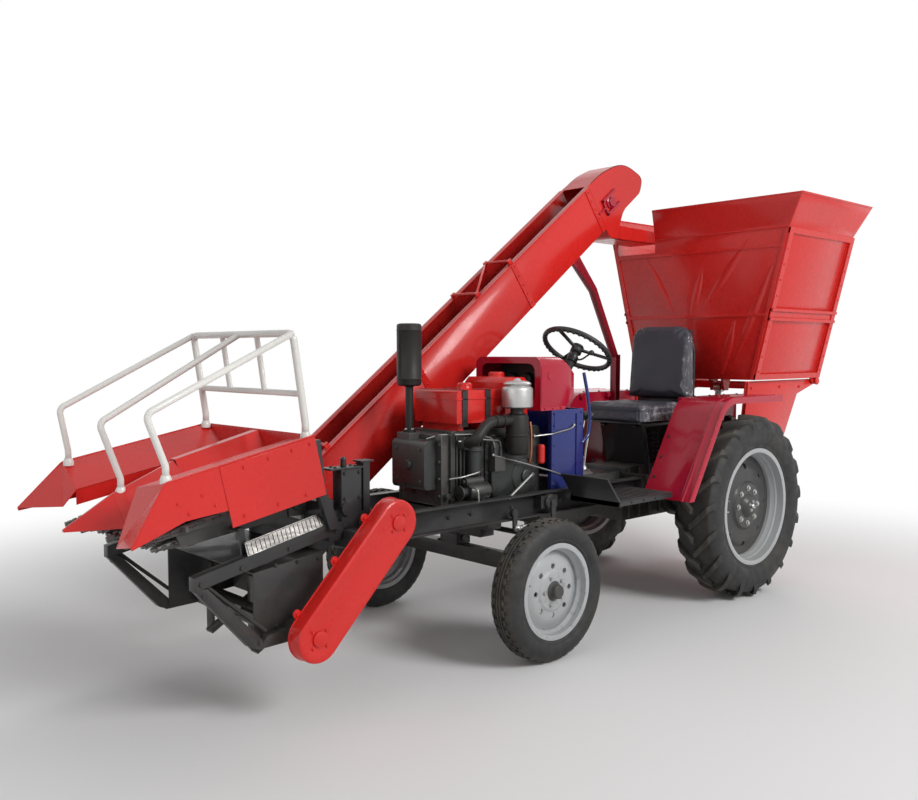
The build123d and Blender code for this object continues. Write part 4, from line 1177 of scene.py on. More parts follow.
def air_cleaner():
    """Oil-bath air cleaner: can, neck, clamp and pipe to the engine; the bowl on top is bright steel."""
    x, y = 325, 246
    can = [(0, 876), (40, 876), (50, 882), (55, 892), (55, 966), (58, 969), (58, 974), (55, 977), (55, 1058),
           (50, 1070), (36, 1076), (32, 1088), (34, 1100), (0, 1100)]
    body = Shape().turned(can, (x, y, 0), "Z", 40)
    body.tube([(x + 40, y, 1045), (520, y, 1045), (600, y, 965), (600, 190, 945)], 26, 60, 20)
    for clamp_x in (420, 470):
        body.rod((clamp_x, y, 1045), (clamp_x + 12, y, 1045), 30, sides=24)
    body.box((x - 30, x + 30), (186, y - 50), (900, 930))
    return body


bowl_profile = [(0, 1100), (60, 1101), (74, 1108), (75, 1112), (75, 1190), (73, 1198), (66, 1205),
                (58, 1206), (58, 1210),
                (66, 1212), (68, 1218), (60, 1226), (46, 1231), (20, 1234), (16, 1240), (10, 1244), (0, 1245)]
piece("air_cleaner_can", air_cleaner(), "chassis", "black_plastic", "muffler_black", ("air_cleaner",),
      bevel=1.0)
piece("air_cleaner_bowl", Shape().turned(bowl_profile, (325, 246, 0), "Z", 44), "chassis", "bare_steel",
      bevel=0)


# Cowl, panels, levers


def cowl_front():
    """Front frame of the dash cowl round its rounded window, with a rolled edge."""
    half, low, high = 230, 1078, 1345
    outer = rounded([(-half, low), (half, low), (half, high), (-half, high)], [6, 6, 48, 48], 8)
    inner = rounded([(-190, 1112), (190, 1112), (190, 1312), (-190, 1312)], [50, 50, 50, 50], 8)
    middle = Vector((0, (low + high) / 2))

    def resample(loop, count=96):
        """Points of a loop where lines from the window's middle meet it."""
        points = [Vector(p) for p in loop] + [Vector(loop[0])]
        spots = []
        for k in range(count):
            a = 2 * math.pi * k / count - 3 * math.pi / 4
            way = Vector((math.cos(a) * 1.0, math.sin(a) * 0.58)).normalized()
            best = None
            for p, q in zip(points, points[1:]):
                edge = q - p
                cross = way.x * edge.y - way.y * edge.x
                if abs(cross) < 1e-9:
                    continue
                t = ((p - middle).x * edge.y - (p - middle).y * edge.x) / cross
                s = ((p - middle).x * way.y - (p - middle).y * way.x) / cross
                if t > 0 and -1e-6 <= s <= 1 + 1e-6 and (best is None or t > best):
                    best = t
            spots.append(middle + way * best)
        return spots

    out, hole = resample(outer), resample(inner)
    lip = [h + (h - middle).normalized() * 4 for h in hole]
    loops = ((136, out), (142, out), (142, hole), (128, hole), (128, lip), (136, lip))
    rings = [[(x, p.x, p.y) for p in loop] for x, loop in loops]
    frame_ = Shape()
    frame_.skin(rings + [rings[0]], caps=False)
    bmesh.ops.remove_doubles(frame_.mesh, verts=frame_.mesh.verts[:], dist=0.001)
    return frame_


def instrument_box():
    """Back of the instrument panel, seen in the cowl's window, with its wiring cover and studs."""
    box = Shape().box((-60, -20), (-200, 200), (1110, 1310))
    for y in (-110, 0, 110):
        box.turned([(0, 0), (38, 0), (38, 26), (30, 34), (0, 34)], (-20, y, 1225), "X", 28)
        box.rod((14, y - 10, 1225), (24, y - 10, 1225), 3, sides=8)
        box.rod((14, y + 10, 1225), (24, y + 10, 1225), 3, sides=8)
    box.tube([(10, -110, 1190), (20, -60, 1160), (18, 30, 1150), (10, 110, 1190)], 7, 40, 8)
    return box


def dash_place(y):
    """A place on the dash's slanted face, looking out of it."""
    normal = Vector((-0.68, 0, 0.73)).normalized()
    return Matrix.Translation((-66, y, 1304)) @ normal.to_track_quat("Z", "Y").to_matrix().to_4x4()


def dash_face():
    """Rider's side of the dash: three plain dials, a key switch and lamps."""
    face = Shape()
    for y in (-120, 0, 120):
        face.placing = dash_place(y)
        face.turned([(0, -3), (40, -3), (40, 5), (36, 8), (32, 8), (30, 2), (0, 2)], (0, 0, 0), "Z", 36)
    for y in (-60, 60):
        face.placing = dash_place(y)
        face.turned([(0, -3), (12, -3), (12, 4), (8, 8), (0, 8)], (0, 0, 0), "Z", 20)
    face.placing = Matrix.Identity(4)
    return face


def dial_faces():
    face = Shape()
    for y in (-120, 0, 120):
        face.placing = dash_place(y)
        face.turned([(0, 1), (31, 1), (31, 4), (0, 5)], (0, 0, 0), "Z", 36)
    face.placing = Matrix.Identity(4)
    return face


def cowl_trim():
    """Seam beads, bolts and the lower hem of the cowl."""
    trim = Shape()
    for side in (1, -1):
        y = side * 230
        trim.side([(-40, 1078), (140, 1078), (140, 1096), (-48, 1096)], sorted((y, y + side * 2)))
        for x in (-10, 50, 110):
            trim.bolt((x, y + side * 2, 1087), (0, side, 0), 5)
        trim.rod((66, y, 1252), (66, y + side * 2.5, 1252), 22, sides=28)
    return trim


def panel_trim():
    """Folded edges, ribs and bolts of the blue panels, and the blue post."""
    trim = Shape()
    rear, front, half, fold = -190, 60, 230, 22
    for side in (1, -1):
        for x in (rear, front - SHEET):
            trim.box((x, x + SHEET), sorted((side * (half - fold), side * half)), (682, 1076))
        trim.box((rear + 50, rear + 62), sorted((side * half, side * (half + 6))), (702, 1056))
        trim.box((rear + 120, front - 20), sorted((side * half, side * (half + 3))), (980, 1060))
        for z in (700, 800, 900, 1000, 1060):
            trim.bolt((rear + 20, side * half, z), (0, side, 0), 5)
            trim.bolt((front - 20, side * (half + (3 if z > 980 else 0)), z), (0, side, 0), 5)
    trim.tube([(-198, 222, 1262), (-228, 222, 1160), (-254, 222, 1025), (-240, 222, 930), (-184, 224, 900)],
              9, 40, 12)
    return trim


piece("cowl_front_frame", cowl_front(), "chassis", "red_paint", "crimson", bevel=0.8)
piece("instrument_backs", instrument_box(), "chassis", "black_plastic", bevel=2.0)
piece("dash_rims", dash_face(), "chassis", "black_plastic", bevel=0.5)
piece("dash_dials", dial_faces(), "chassis", "black_plastic", "dial_glass", bevel=0)
piece("cowl_trim", cowl_trim(), "chassis", "red_paint", "crimson", bevel=0.5)
piece("panel_trim", panel_trim(), "chassis", "blue_paint", bevel=0.6)

LEVERS = ((-400, 60, 60), (-370, 20, 85), (-340, -40, 70))


def gear_levers():
    """Shift levers with cranked rods on their gate, and the pedals."""
    levers = Shape().box((-440, -320), (-80, 90), (700, 712))
    levers.side(rounded([(-432, 712), (-328, 712), (-336, 728), (-424, 728)], [0, 0, 8, 8]), (-72, 82))
    for x, y, lean in LEVERS:
        levers.turned([(0, 0), (20, 0), (16, 18), (9, 24), (0, 24)], (x, y, 726), "Z", 20)
        levers.tube([(x, y, 730), (x - lean * 0.3, y, 840), (x - lean * 0.8, y, 950), (x - lean, y, 1000)],
                    6, 60, 10)
    for y in (-150, 150):
        levers.side([(-250, 700), (-236, 700), (-206, 810), (-220, 816)], (y - 5, y + 5))
        levers.box((-262, -200), (y - 35, y + 35), (812, 818))
        levers.box((-262, -236), sorted((0, y)), (700, 712))
    return levers


def lever_knobs():
    knobs = Shape()
    for x, y, lean in LEVERS:
        knobs.turned([(0, 0), (8, 0), (12, 8), (20, 20), (21, 30), (17, 40), (8, 46), (0, 47)],
                     (x - lean, y, 992), "Z", 24)
    for y in (-150, 150):
        for k in range(6):
            knobs.box((-258 + 10 * k, -253 + 10 * k), (y - 32, y + 32), (817, 822))
    return knobs


piece("shift_levers", gear_levers(), "chassis", "bare_steel", None, ("gear_levers",), bevel=0.6)
piece("lever_knobs", lever_knobs(), "chassis", "black_plastic", bevel=0.5)


def column_trim():
    """Collars, bearing and the throttle lever of the steering column."""
    tilt = math.radians(35)
    top = Vector((-405, 0, 1385))
    way = Vector((math.sin(tilt), 0, -math.cos(tilt)))
    trim = Shape()
    for s, r, h in ((50, 30, 34), (250, 28, 26), (340, 32, 30)):
        trim.rod(top + way * s, top + way * (s + h), r, sides=28)
    trim.tube([top + way * 66, top + way * 66 + Vector((10, 70, -6)), Vector((-345, 150, 1365))], 5, 30, 10)
    trim.ball((-345, 152, 1365), 15)
    return trim


def wheel_trim():
    """Hub cap and finger bumps of the steering wheel."""
    tilt = math.radians(35)
    top = Vector((-405, 0, 1385))
    turn = Matrix.Translation(top) @ Matrix.Rotation(-tilt, 4, "Y")
    trim = Shape()
    trim.placing = turn
    trim.turned([(0, 10), (34, 10), (36, 14), (30, 22), (16, 26), (0, 27)], (0, 0, 0), "Z", 36)
    for k in range(36):
        a = 2 * math.pi * k / 36
        trim.ball((190 * math.cos(a), 190 * math.sin(a), -8), 11, 10)
    trim.placing = Matrix.Identity(4)
    return trim


piece("column_trim", column_trim(), "chassis", "dark_frame_paint", bevel=0.8)
piece("wheel_trim", wheel_trim(), "steering_wheel", "black_plastic", bevel=0)


# Footplates, fenders, seat


def footplate_trim():
    """Raised ribs, edge folds and brackets of the footplates."""
    trim = Shape()
    for k in range(11):
        x = -488 + 38 * k
        trim.side([(x, 645), (x + 14, 645), (x + 11, 649), (x + 3, 649)], (290, 555))
    trim.box((-500, -60), (566, 570), (618, 644))
    for x in (-470, -120):
        trim.box((x, x + 30), (RAIL_Y[0] + 8, 540), (606, 641))
        trim.bolt((x + 15, 520, 606), (0, 0, -1), 7)
    for x in (-460, -360, -260, -160):
        trim.bolt((x + 5, 570, 631), (0, 1, 0), 5)
    return trim.mirror()


def fender_line(grow, steps=10):
    """The fender's outline of (X, Z) points: level, a rounded corner, then the slanting front."""
    top = 1120 + grow
    corner = (-835 + grow * 0.55, top)
    path = arc_corners([(-1435, 0, top), (corner[0], 0, top), (-515 + grow * 1.17, 0, 600)], 95, steps)
    return [(p.x, p.z) for p in path]


def fenders():
    """Rounded skin with hanging outer lip, pressed crease and bead, and the inner web."""
    inner, outer = 370, 670
    fender = Shape()
    skin, under = fender_line(0), fender_line(-SHEET)
    section = [(inner, 0), (inner + 150, 1.5), (outer - 66, 0.5), (outer - 60, 5), (outer - 50, 5),
               (outer - 44, 0.5),
               (outer - 12, 0), (outer - 8, 4.5), (outer - 2, 4), (outer, -1), (outer, -34), (outer - 4, -34),
               (outer - 4, -6), (outer - 10, -4), (inner, -4)]
    rings = []
    for k in range(len(skin)):
        way = Vector(skin[k]) - Vector(under[k])
        way.normalize()
        rings.append([(skin[k][0] + way.x * n, y, skin[k][1] + way.y * n) for y, n in section])
    fender.skin(rings)
    web = [(px, pz) for px, pz in fender_line(-1)] + [(-560, 605), (-640, 600), (-1020, 700), (-1080, 590),
                                                       (-1190, 590), (-1435, 950)]
    fender.side(web, (inner, inner + SHEET))
    for x in (-1400, -1150, -900):
        fender.box((x, x + 30), (inner - 26, inner), (1086, 1116))
        fender.bolt((x + 15, inner - 26, 1100), (0, -1, 0), 6)
    return fender.mirror()


def fender_bolts():
    bolts = Shape()
    for x in (-1390, -1250, -1100, -950):
        bolts.bolt((x, 400, 1120), (0, 0, 1), 6)
    for t in (0.25, 0.5, 0.75):
        bolts.bolt((-770 + 255 * t, 400, 1014 - 414 * t), (0.85, 0, 0.52), 6)
    return bolts.mirror()


piece("footplate_trim", footplate_trim(), "chassis", "dark_frame_paint", bevel=0.6)
piece("fender_skins", fenders(), "chassis", "maroon_paint", "crimson", ("fenders",), bevel=0.6)
piece("fender_bolts", fender_bolts(), "chassis", "dark_frame_paint", bevel=0.4)


PAD_CELL = 0.0065
PAD_PRESSURE = 4.0
CLOTH_STEPS = 20


def swollen(name, outline_shape, cap, pin_below=None, pin_behind=None):
    """A padded piece: a slightly smaller block, remeshed and blown up as cloth, each point's move capped."""
    made = bpy.data.objects.new(name, to_mesh(name, outline_shape))
    bpy.context.scene.collection.objects.link(made)
    edge_bevel(made, 0.018, 4)
    remesh = made.modifiers.new("cells", "REMESH")
    remesh.mode = "VOXEL"
    remesh.voxel_size = PAD_CELL
    mesh = finished(made)
    made.modifiers.clear()
    made.data = mesh
    start = [v.co.copy() for v in mesh.vertices]
    held = made.vertex_groups.new(name="held")
    for v in mesh.vertices:
        under = pin_below is not None and v.co.z < pin_below
        behind = pin_behind is not None and v.co.x < pin_behind
        if under or behind:
            held.add([v.index], 1.0, "ADD")
    cloth = made.modifiers.new("cloth", "CLOTH")
    settings = cloth.settings
    settings.quality = 5
    settings.mass = 0.25
    settings.tension_stiffness = 12
    settings.compression_stiffness = 12
    settings.bending_stiffness = 0.6
    settings.use_pressure = True
    settings.uniform_pressure_force = PAD_PRESSURE
    settings.effector_weights.gravity = 0.0
    settings.vertex_group_mass = "held"
    cloth.point_cache.frame_start = 1
    cloth.point_cache.frame_end = CLOTH_STEPS
    scene = bpy.context.scene
    for step in range(1, CLOTH_STEPS + 1):
        scene.frame_set(step)
    blown = finished(made)
    made.modifiers.remove(cloth)
    for v, before, after in zip(mesh.vertices, start, blown.vertices):
        move = after.co - before
        if move.length > cap:
            move = move.normalized() * cap
        v.co = before + move
    bpy.data.meshes.remove(blown)
    scene.frame_set(1)
    made.vertex_groups.clear()
    return made


def dress_pad(made, node, seams, low, high):
    """Adds sewn lines and light wrinkles, keeps the pad inside its room and finishes it."""
    centre = (Vector(low) + Vector(high)) / 2
    mesh = made.data
    for v in mesh.vertices:
        wave = noise.noise(v.co * 9.0) * 0.0022 + noise.noise(v.co * 31.0) * 0.0006
        inward = (centre - v.co).normalized()
        v.co += inward * wave
        for axis, place, width, depth in seams:
            off = abs(v.co[axis] - place)
            if off < width:
                v.co += inward * depth * (1 - off / width) ** 2
        for axis in range(3):
            v.co[axis] = min(max(v.co[axis], low[axis]), high[axis])
    smooth = made.modifiers.new("fine", "SUBSURF")
    smooth.levels = 1
    smooth.render_levels = 1
    mesh.materials.clear()
    mesh.materials.append(FINISH["seat_vinyl"])
    mesh.shade_smooth()
    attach(made, "chassis")
    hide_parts(node)


def seat():
    inset = 10
    cushion_outline = rounded([(-1135 + inset, -235 + inset), (-700 - inset, -235 + inset),
                               (-700 - inset, 235 - inset), (-1135 + inset, 235 - inset)], [30, 70, 70, 30])
    cushion = swollen("seat_cushion_padded", Shape().flat(cushion_outline, (974, 1066)), 0.012,
                      pin_below=0.978)
    low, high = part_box("seat_cushion")
    dress_pad(cushion, "seat_cushion", ((2, 1.030, 0.006, 0.004), (0, -0.835, 0.012, 0.004),
                                        (0, -0.965, 0.012, 0.004)),
              low, high)
    back_outline = rounded([(-225, 1086), (225, 1086), (215, 1532), (-215, 1532)], [30, 30, 110, 110])
    lean = Shape()
    rings = []
    for x_low, x_high in ((-1217, -1217), (-1150, -1184)):
        rings.append([(x_low + (x_high - x_low) * (z - 1086) / 446, y, z) for y, z in back_outline])
    lean.skin(rings)
    back = swollen("seat_backrest_padded", lean, 0.011, pin_behind=-1.214)
    low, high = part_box("seat_backrest")
    dress_pad(back, "seat_backrest", ((1, -0.150, 0.010, 0.004), (1, 0.150, 0.010, 0.004)), low, high)


seat()


def seat_trim():
    """Slide rails, springs, bolts and the back frame's tubes."""
    trim = Shape()
    for y in (-115, 115):
        trim.box((-1185, -775), (y - 16, y + 16), (940, 946))
        for x in (-1150, -980, -820):
            trim.bolt((x, y, 946), (0, 0, 1), 6)
    for y in (-80, 80):
        for k in range(7):
            z = 726 + 28 * k
            trim.turned([(26, 0), (32, 0), (32, 8), (26, 8)], (-1010, y, z), "Z", 28)
    trim.tube([(-1245, -195, 980), (-1248, -195, 1400), (-1246, -150, 1490), (-1246, 150, 1490),
               (-1248, 195, 1400), (-1245, 195, 980)], 9, 60, 10)
    return trim


piece("seat_trim", seat_trim(), "chassis", "dark_frame_paint", bevel=0.6)


# Elevator


def trough_trim():
    """Outward folds along the trough's open top, joint straps, bolt rows, ties and the shaft bearings."""
    far, near = ELEV_Y
    h, fold = ELEV_HALF, 18
    trim = Shape()
    for y in ((far - fold, far + SHEET), (near - SHEET, near + fold)):
        trim.slope([(-110, h), (ELEV_BOX_END, h), (ELEV_BOX_END, h - SHEET), (-110, h - SHEET)], y)
    for s in (900, 1800, ELEV_BOX_END - 40):
        for y in ((far - 5, far), (near, near + 5)):
            trim.slope([(s, -h), (s + 40, -h), (s + 40, h - SHEET), (s, h - SHEET)], y)
        for n in (-120, -60, 0, 60, 120):
            x, z = slope_point(s + 20, n)
            trim.bolt((x, near + 5, z), (0, 1, 0), 5).bolt((x, far - 5, z), (0, -1, 0), 5)
    for s in (250, 1500, 1815):
        for y in ((far, far + 16), (near - 16, near)):
            trim.slope([(s - 14, h - SHEET), (s + 14, h - SHEET), (s + 14, h + 22), (s - 14, h + 22)], y)
        x, z = slope_point(s, h + 14)
        trim.across(x, z, 8, (far + 8, near - 8))
    x, z = slope_point(1815, h + 14)
    low_x, low_z = slope_point(1500, h + 14)
    trim.rod((x, far + 8, z), (low_x, near - 8, low_z), 7, sides=12)
    x, z = slope_point(0, CHAIN_N)
    for y, side in ((near, 1), (far, -1)):
        trim.placing = Matrix.Translation((x, y, z))
        trim.turned([(0, 0), (52, 0), (52, side * 6), (36, side * 10), (32, side * 24), (0, side * 24)],
                    (0, 0, 0))
        trim.bolts([(44 * math.cos(a), side * 6, 44 * math.sin(a)) for a in (0.5, 2.1, 3.7, 5.3)],
                   (0, side, 0), 6)
    trim.placing = Matrix.Identity(4)
    return trim


def hood_line(inset):
    """The outline of the elevator's rounded cap and outlet, as (X, Z) points."""
    top = [slope_point(ELEV_BOX_END, ELEV_HALF - inset), (-1012, 2461 - inset), (-1222, 2556 - inset),
           (-1434 + inset, 2484 - inset * 0.6), (-1404 + inset, 2384)]
    low = [(-1238 + inset, 2258), (-1200, 2160), (-1200, 2072 + inset), (-1110, 2072 + inset),
           slope_point(ELEV_BOX_END, inset - ELEV_HALF)]
    return rounded(top + low, [0, 60, 130, 60, 20, 40, 20, 0, 30, 0], 8)


def elevator_hood():
    """Rounded cap over the upper shaft: two cheeks, a roof sheet that stops at the outlet, and the tray."""
    far, near = ELEV_Y
    t = SHEET
    hood = Shape()
    outline, inside = hood_line(0), hood_line(t)
    hood.side(outline, (far, far + t)).side(outline, (near - t, near))
    for k in range(len(outline)):
        n = (k + 1) % len(outline)
        middle_x = (outline[k][0] + outline[n][0]) / 2
        middle_z = (outline[k][1] + outline[n][1]) / 2
        mouth = middle_x < -1195 and middle_z < 2400 and middle_z > 2080
        joint = abs(outline[k][0] - outline[n][0]) > 100 and middle_z < 2300 and middle_x > -1110
        if mouth or joint:
            continue
        hood.side([outline[k], outline[n], inside[n], inside[k]], (far, near))
    tray = [(-1200, 2160), (-1580, 2150), (-1588, 2072), (-1195, 2072)]
    hood.side(tray, (far, far + t)).side(tray, (near - t, near))
    hood.side([(-1195, 2072), (-1588, 2072), (-1588, 2076), (-1195, 2076)], ELEV_Y)
    for y in ((near, near + 3), (far - 3, far)):
        rim = [slope_point(ELEV_BOX_END + 4, ELEV_HALF), slope_point(ELEV_BOX_END + 34, ELEV_HALF),
               slope_point(ELEV_BOX_END + 34, -ELEV_HALF + 6), slope_point(ELEV_BOX_END + 4, -ELEV_HALF)]
        hood.side(rim, y)
    return hood


def hood_bearings():
    """Adjuster plates with their slots and studs, and the upper shaft's bearings."""
    far, near = ELEV_Y
    trim = Shape()
    for y, side in ((near, 1), (far, -1)):
        for n in (-84, 4):
            trim.slope([(2700, n - 8), (2850, n - 8), (2850, n + 8), (2700, n + 8)],
                       sorted((y, y + side * 14)))
        trim.slope([(2700, -92), (2712, -92), (2712, 12), (2700, 12)], sorted((y, y + side * 14)))
        x, z = slope_point(2700, CHAIN_N)
        end_x, end_z = slope_point(2630, CHAIN_N)
        trim.rod((x, y + side * 9, z), (end_x, y + side * 9, end_z), 6, sides=10)
        x, z = slope_point(ELEV_RUN, CHAIN_N)
        trim.placing = Matrix.Translation((x, y, z))
        trim.turned([(0, 0), (40, 0), (40, side * 8), (32, side * 12), (28, side * 24), (0, side * 24)],
                    (0, 0, 0))
        trim.placing = Matrix.Identity(4)
        for n in (-70, -10):
            bx, bz = slope_point(ELEV_RUN + 10, n)
            trim.bolt((bx, y + side * 8, bz), (0, side, 0), 6)
    return trim


def strut_trim():
    """Folded flanges and bolts of the post under the elevator."""
    trim = Shape()
    lines = (((-1165, 592), (-1165, 1335)), ((-1165, 1335), (-945, 1735)), ((-945, 1735), (-790, 1870)),
             ((-1207, 592), (-1207, 1350)))
    for (x0, z0), (x1, z1) in lines:
        trim.side([(x0, z0), (x1, z1), (x1 - 7, z1 + 2), (x0 - 7, z0 + 2)], (-342, -322))
    for z in (620, 680, 760):
        trim.bolt((-1188, -340, z), (0, 1, 0), 8)
    return trim


piece("trough_trim", trough_trim(), "chassis", "red_paint", bevel=0.7)
piece("elevator_cap", elevator_hood(), "chassis", "red_paint", None, ("elevator_hood",), bevel=0.8)
piece("elevator_bearings", hood_bearings(), "chassis", "red_paint", "crimson", bevel=0.8)
piece("strut_trim", strut_trim(), "chassis", "maroon_paint", bevel=0.6)


# Bin


def bin_side(z):
    """Half width of the bin at a height."""
    share = (z - BIN_Z[0]) / (BIN_Z[1] - BIN_Z[0])
    return BIN_HALF[0] + share * (BIN_HALF[1] - BIN_HALF[0])


def side_strip(shape, x, z, out, soft=0):
    """A strip standing out from the bin's left wall, between two X and two Z values."""
    corners = [(x[0], bin_side(z[0]), z[0]), (x[1], bin_side(z[0]), z[0]), (x[1], bin_side(z[1]), z[1]),
               (x[0], bin_side(z[1]), z[1])]
    return shape.skin([corners, [(cx + (soft if cx == x[0] else -soft), cy + out, cz) for cx, cy,
                                 cz in corners]])


def bin_frames():
    """Folded posts, the double band and the rails that frame the panels of both side walls."""
    rear, front = BIN_X
    low, high = BIN_Z
    post, band = 46, 1590
    frames = Shape()
    for x in ((front - post, front), (rear, rear + post)):
        side_strip(frames, x, (low, high), 14)
    for z, out in (((low, low + 34), 13), ((high - 34, high), 13), ((band - 36, band - 18), 22),
                   ((band + 18, band + 36), 22), ((band - 18, band + 18), 8)):
        side_strip(frames, (rear, front), z, out)
    for x in ((front - post - 16, front - post - 10), (rear + post + 10, rear + post + 16)):
        side_strip(frames, x, (low + 44, band - 46), 4)
        side_strip(frames, x, (band + 46, high - 44), 4)
    return frames.mirror()


def bin_ridge(shape, start, end, width, out):
    """A pressed ridge on the front wall between two (Y, Z) points, tapered to its ends."""
    along = Vector((end[0] - start[0], end[1] - start[1]))
    across = Vector((-along.y, along.x)).normalized()
    rings, steps = [], 12
    for k in range(steps + 1):
        t = k / steps
        spot = Vector(start) + along * t
        half = width / 2 * (0.3 + 0.7 * math.sin(math.pi * min(max(t, 0.04), 0.96)))
        rise = out * math.sin(math.pi * min(max(t, 0.03), 0.97))
        ring = []
        for share, lift in ((-1, -2), (-0.5, rise * 0.6), (0, rise), (0.5, rise * 0.6), (1, -2)):
            point = spot + across * half * share
            ring.append((BIN_X[1] + lift, point.x, point.y))
        rings.append(ring)
    return shape.skin(rings)


def bin_front():
    """Creases, seam band and folded edge of the bin's front wall."""
    front = Shape()
    for start, end in (((373, 2040), (60, 1625)), ((530, 1880), (290, 1300)), ((60, 1890), (-24, 1574)),
                       ((-373, 1980), (-150, 1625)), ((290, 1560), (210, 1230))):
        bin_ridge(front, start, end, 70, 4.5)
    for z in (1590, 1990):
        half = bin_side(z) - 6
        front.cross([(-half, z - 9), (half, z - 9), (half, z + 9), (-half, z + 9)],
                    (BIN_X[1] - 1, BIN_X[1] + 7))
    for side in (1, -1):
        corners = [(side * bin_side(1204), 1204), (side * bin_side(2086), 2086),
                   (side * (bin_side(2086) - 22), 2086), (side * (bin_side(1204) - 22), 1204)]
        front.cross(corners, (BIN_X[1] - 1, BIN_X[1] + 6))
    return front


def lip_trim():
    """Rolled hem along the spread lips and the weld line under them."""
    trim = Shape()
    left, right, rear, front = LIP_HALF - 6, -LIP_HALF + 6, -2399, BIN_X[1] + 34
    trim.tube([(front, -300, LIP_Z - 6), (front, left, LIP_Z - 6), (rear, left, LIP_Z - 6),
               (rear, right, LIP_Z - 6), (front, right, LIP_Z - 6)], 6, 8, 10)
    trim.tube([(BIN_X[1] + 3, -290, 2092), (BIN_X[1] + 3, 632, 2092), (BIN_X[0], 632, 2092),
               (BIN_X[0], -632, 2092), (BIN_X[1] + 3, -632, 2092)], 4, 6, 8)
    return trim


def bin_bolts():
    bolts = Shape()
    for z in range(1250, 2060, 90):
        bolts.bolt((BIN_X[1] - 22, bin_side(z) + 13, z), (0, 1, 0), 5)
        bolts.bolt((BIN_X[0] + 22, bin_side(z) + 13, z), (0, 1, 0), 5)
    bolts.mirror()
    return bolts


def gate_trim():
    """Hinge knuckles, ribs, handle and latch of the bin's rear gate."""
    trim = Shape()
    x = BIN_X[0] - 11
    for y in (-530, 0, 530):
        for k in (-1, 0, 1):
            trim.across(-2374, 2070, 13, (y - 30 + 20 * (k + 1), y - 12 + 20 * (k + 1)))
    for z in (1240, 1590, 1960):
        half = bin_side(z) - 24
        trim.cross([(-half, z), (half, z), (half, z + 32), (-half, z + 32)], (x - 15, x))
    for y in (-300, 0, 300):
        trim.box((x - 15, x), (y - 14, y + 14), (1272, 1590))
        trim.box((x - 15, x), (y - 14, y + 14), (1622, 1960))
    for y in (-200, 200):
        trim.tube([(x, y - 50, 1420), (x - 26, y - 50, 1420), (x - 26, y + 50, 1420), (x, y + 50, 1420)], 7,
                  14, 10)
    return trim


piece("bin_frames", bin_frames(), "hopper", "red_paint", bevel=1.2)
piece("bin_front_trim", bin_front(), "hopper", "red_paint", bevel=1.0, angle=50)
piece("bin_lip_trim", lip_trim(), "hopper", "red_paint", bevel=0)
piece("bin_bolts", bin_bolts(), "hopper", "red_paint", bevel=0.4)
piece("gate_trim", gate_trim(), "hopper_tailgate", "red_paint", bevel=0.8)


def stand_trim():
    """Folded edges, pivot caps and bolts of the bin's stand."""
    trim = Shape()
    for side in (1, -1):
        y = side * 398
        edge = [(-1500, 1188), (-1450, 900), (-1330, 720), (-1330, 564)]
        for (x0, z0), (x1, z1) in zip(edge, edge[1:]):
            trim.side([(x0, z0), (x1, z1), (x1 - 6, z1), (x0 - 6, z0)], sorted((y, y + side * 16)))
        for x, z in ((-1370, 600), (-1370, 680), (-1440, 640), (-1700, 540), (-1600, 540), (-2150, 1145),
                     (-1560, 1150), (-1900, 1150)):
            trim.bolt((x, y, z), (0, side, 0), 8)
        trim.turned([(0, 0), (26, 0), (26, side * 8), (20, side * 12), (0, side * 12)],
                    (-2330, side * 424, 1180))
    return trim


piece("stand_trim", stand_trim(), "chassis", "red_paint", bevel=0.8)


# Chassis, gearbox and axles


def chassis_trim():
    """Rail bolts and the steering box with its drop arm."""
    trim = Shape()
    for x in (-580, -400, -200, 0, 350, 620, 760, 1000, 1120, 1240):
        trim.bolt((x, RAIL_Y[0] + 8, 622), (0, 1, 0), 9)
        trim.bolt((x, -RAIL_Y[0] - 8, 622), (0, -1, 0), 9)
    x, z, face = 130, 640, RAIL_Y[1]
    trim.box((x - 60, x + 60), (RAIL_Y[0] + 8, face + 8), (z - 38, z + 22))
    trim.turned([(0, 0), (40, 0), (40, 26), (34, 32), (18, 34), (18, 44), (0, 44)], (x, face - 5, z - 10),
                sides=32)
    for k in range(4):
        a = math.pi / 4 + math.pi / 2 * k
        trim.bolt((x + 31 * math.cos(a), face + 25, z - 10 + 31 * math.sin(a)), (0, 1, 0), 5)
    trim.side(rounded([(x - 18, z + 6), (x + 18, z + 6), (x + 12, z - 118), (x - 12, z - 118)],
                      [14, 14, 10, 10]),
              (face + 27, face + 37))
    trim.rod((384, face - 4, 604), (384, face + 18, 604), 20)
    trim.side(rounded([(368, 622), (400, 622), (396, 522), (372, 522)], [14, 14, 10, 10]),
              (face + 10, face + 20))
    return trim


def steering_links():
    """Drag link from the drop arm to the relay lever, with its ball joints."""
    links = Shape()
    start, end = (130, 322, 532), (384, 306, 534)
    links.ball(start, 17).ball(end, 17)
    links.rod(start, end, 9, sides=16)
    links.rod((160, 320, 532), (200, 318, 532), 13, sides=6).rod((320, 310, 534), (355, 308, 534), 13,
                                                                 sides=6)
    return links


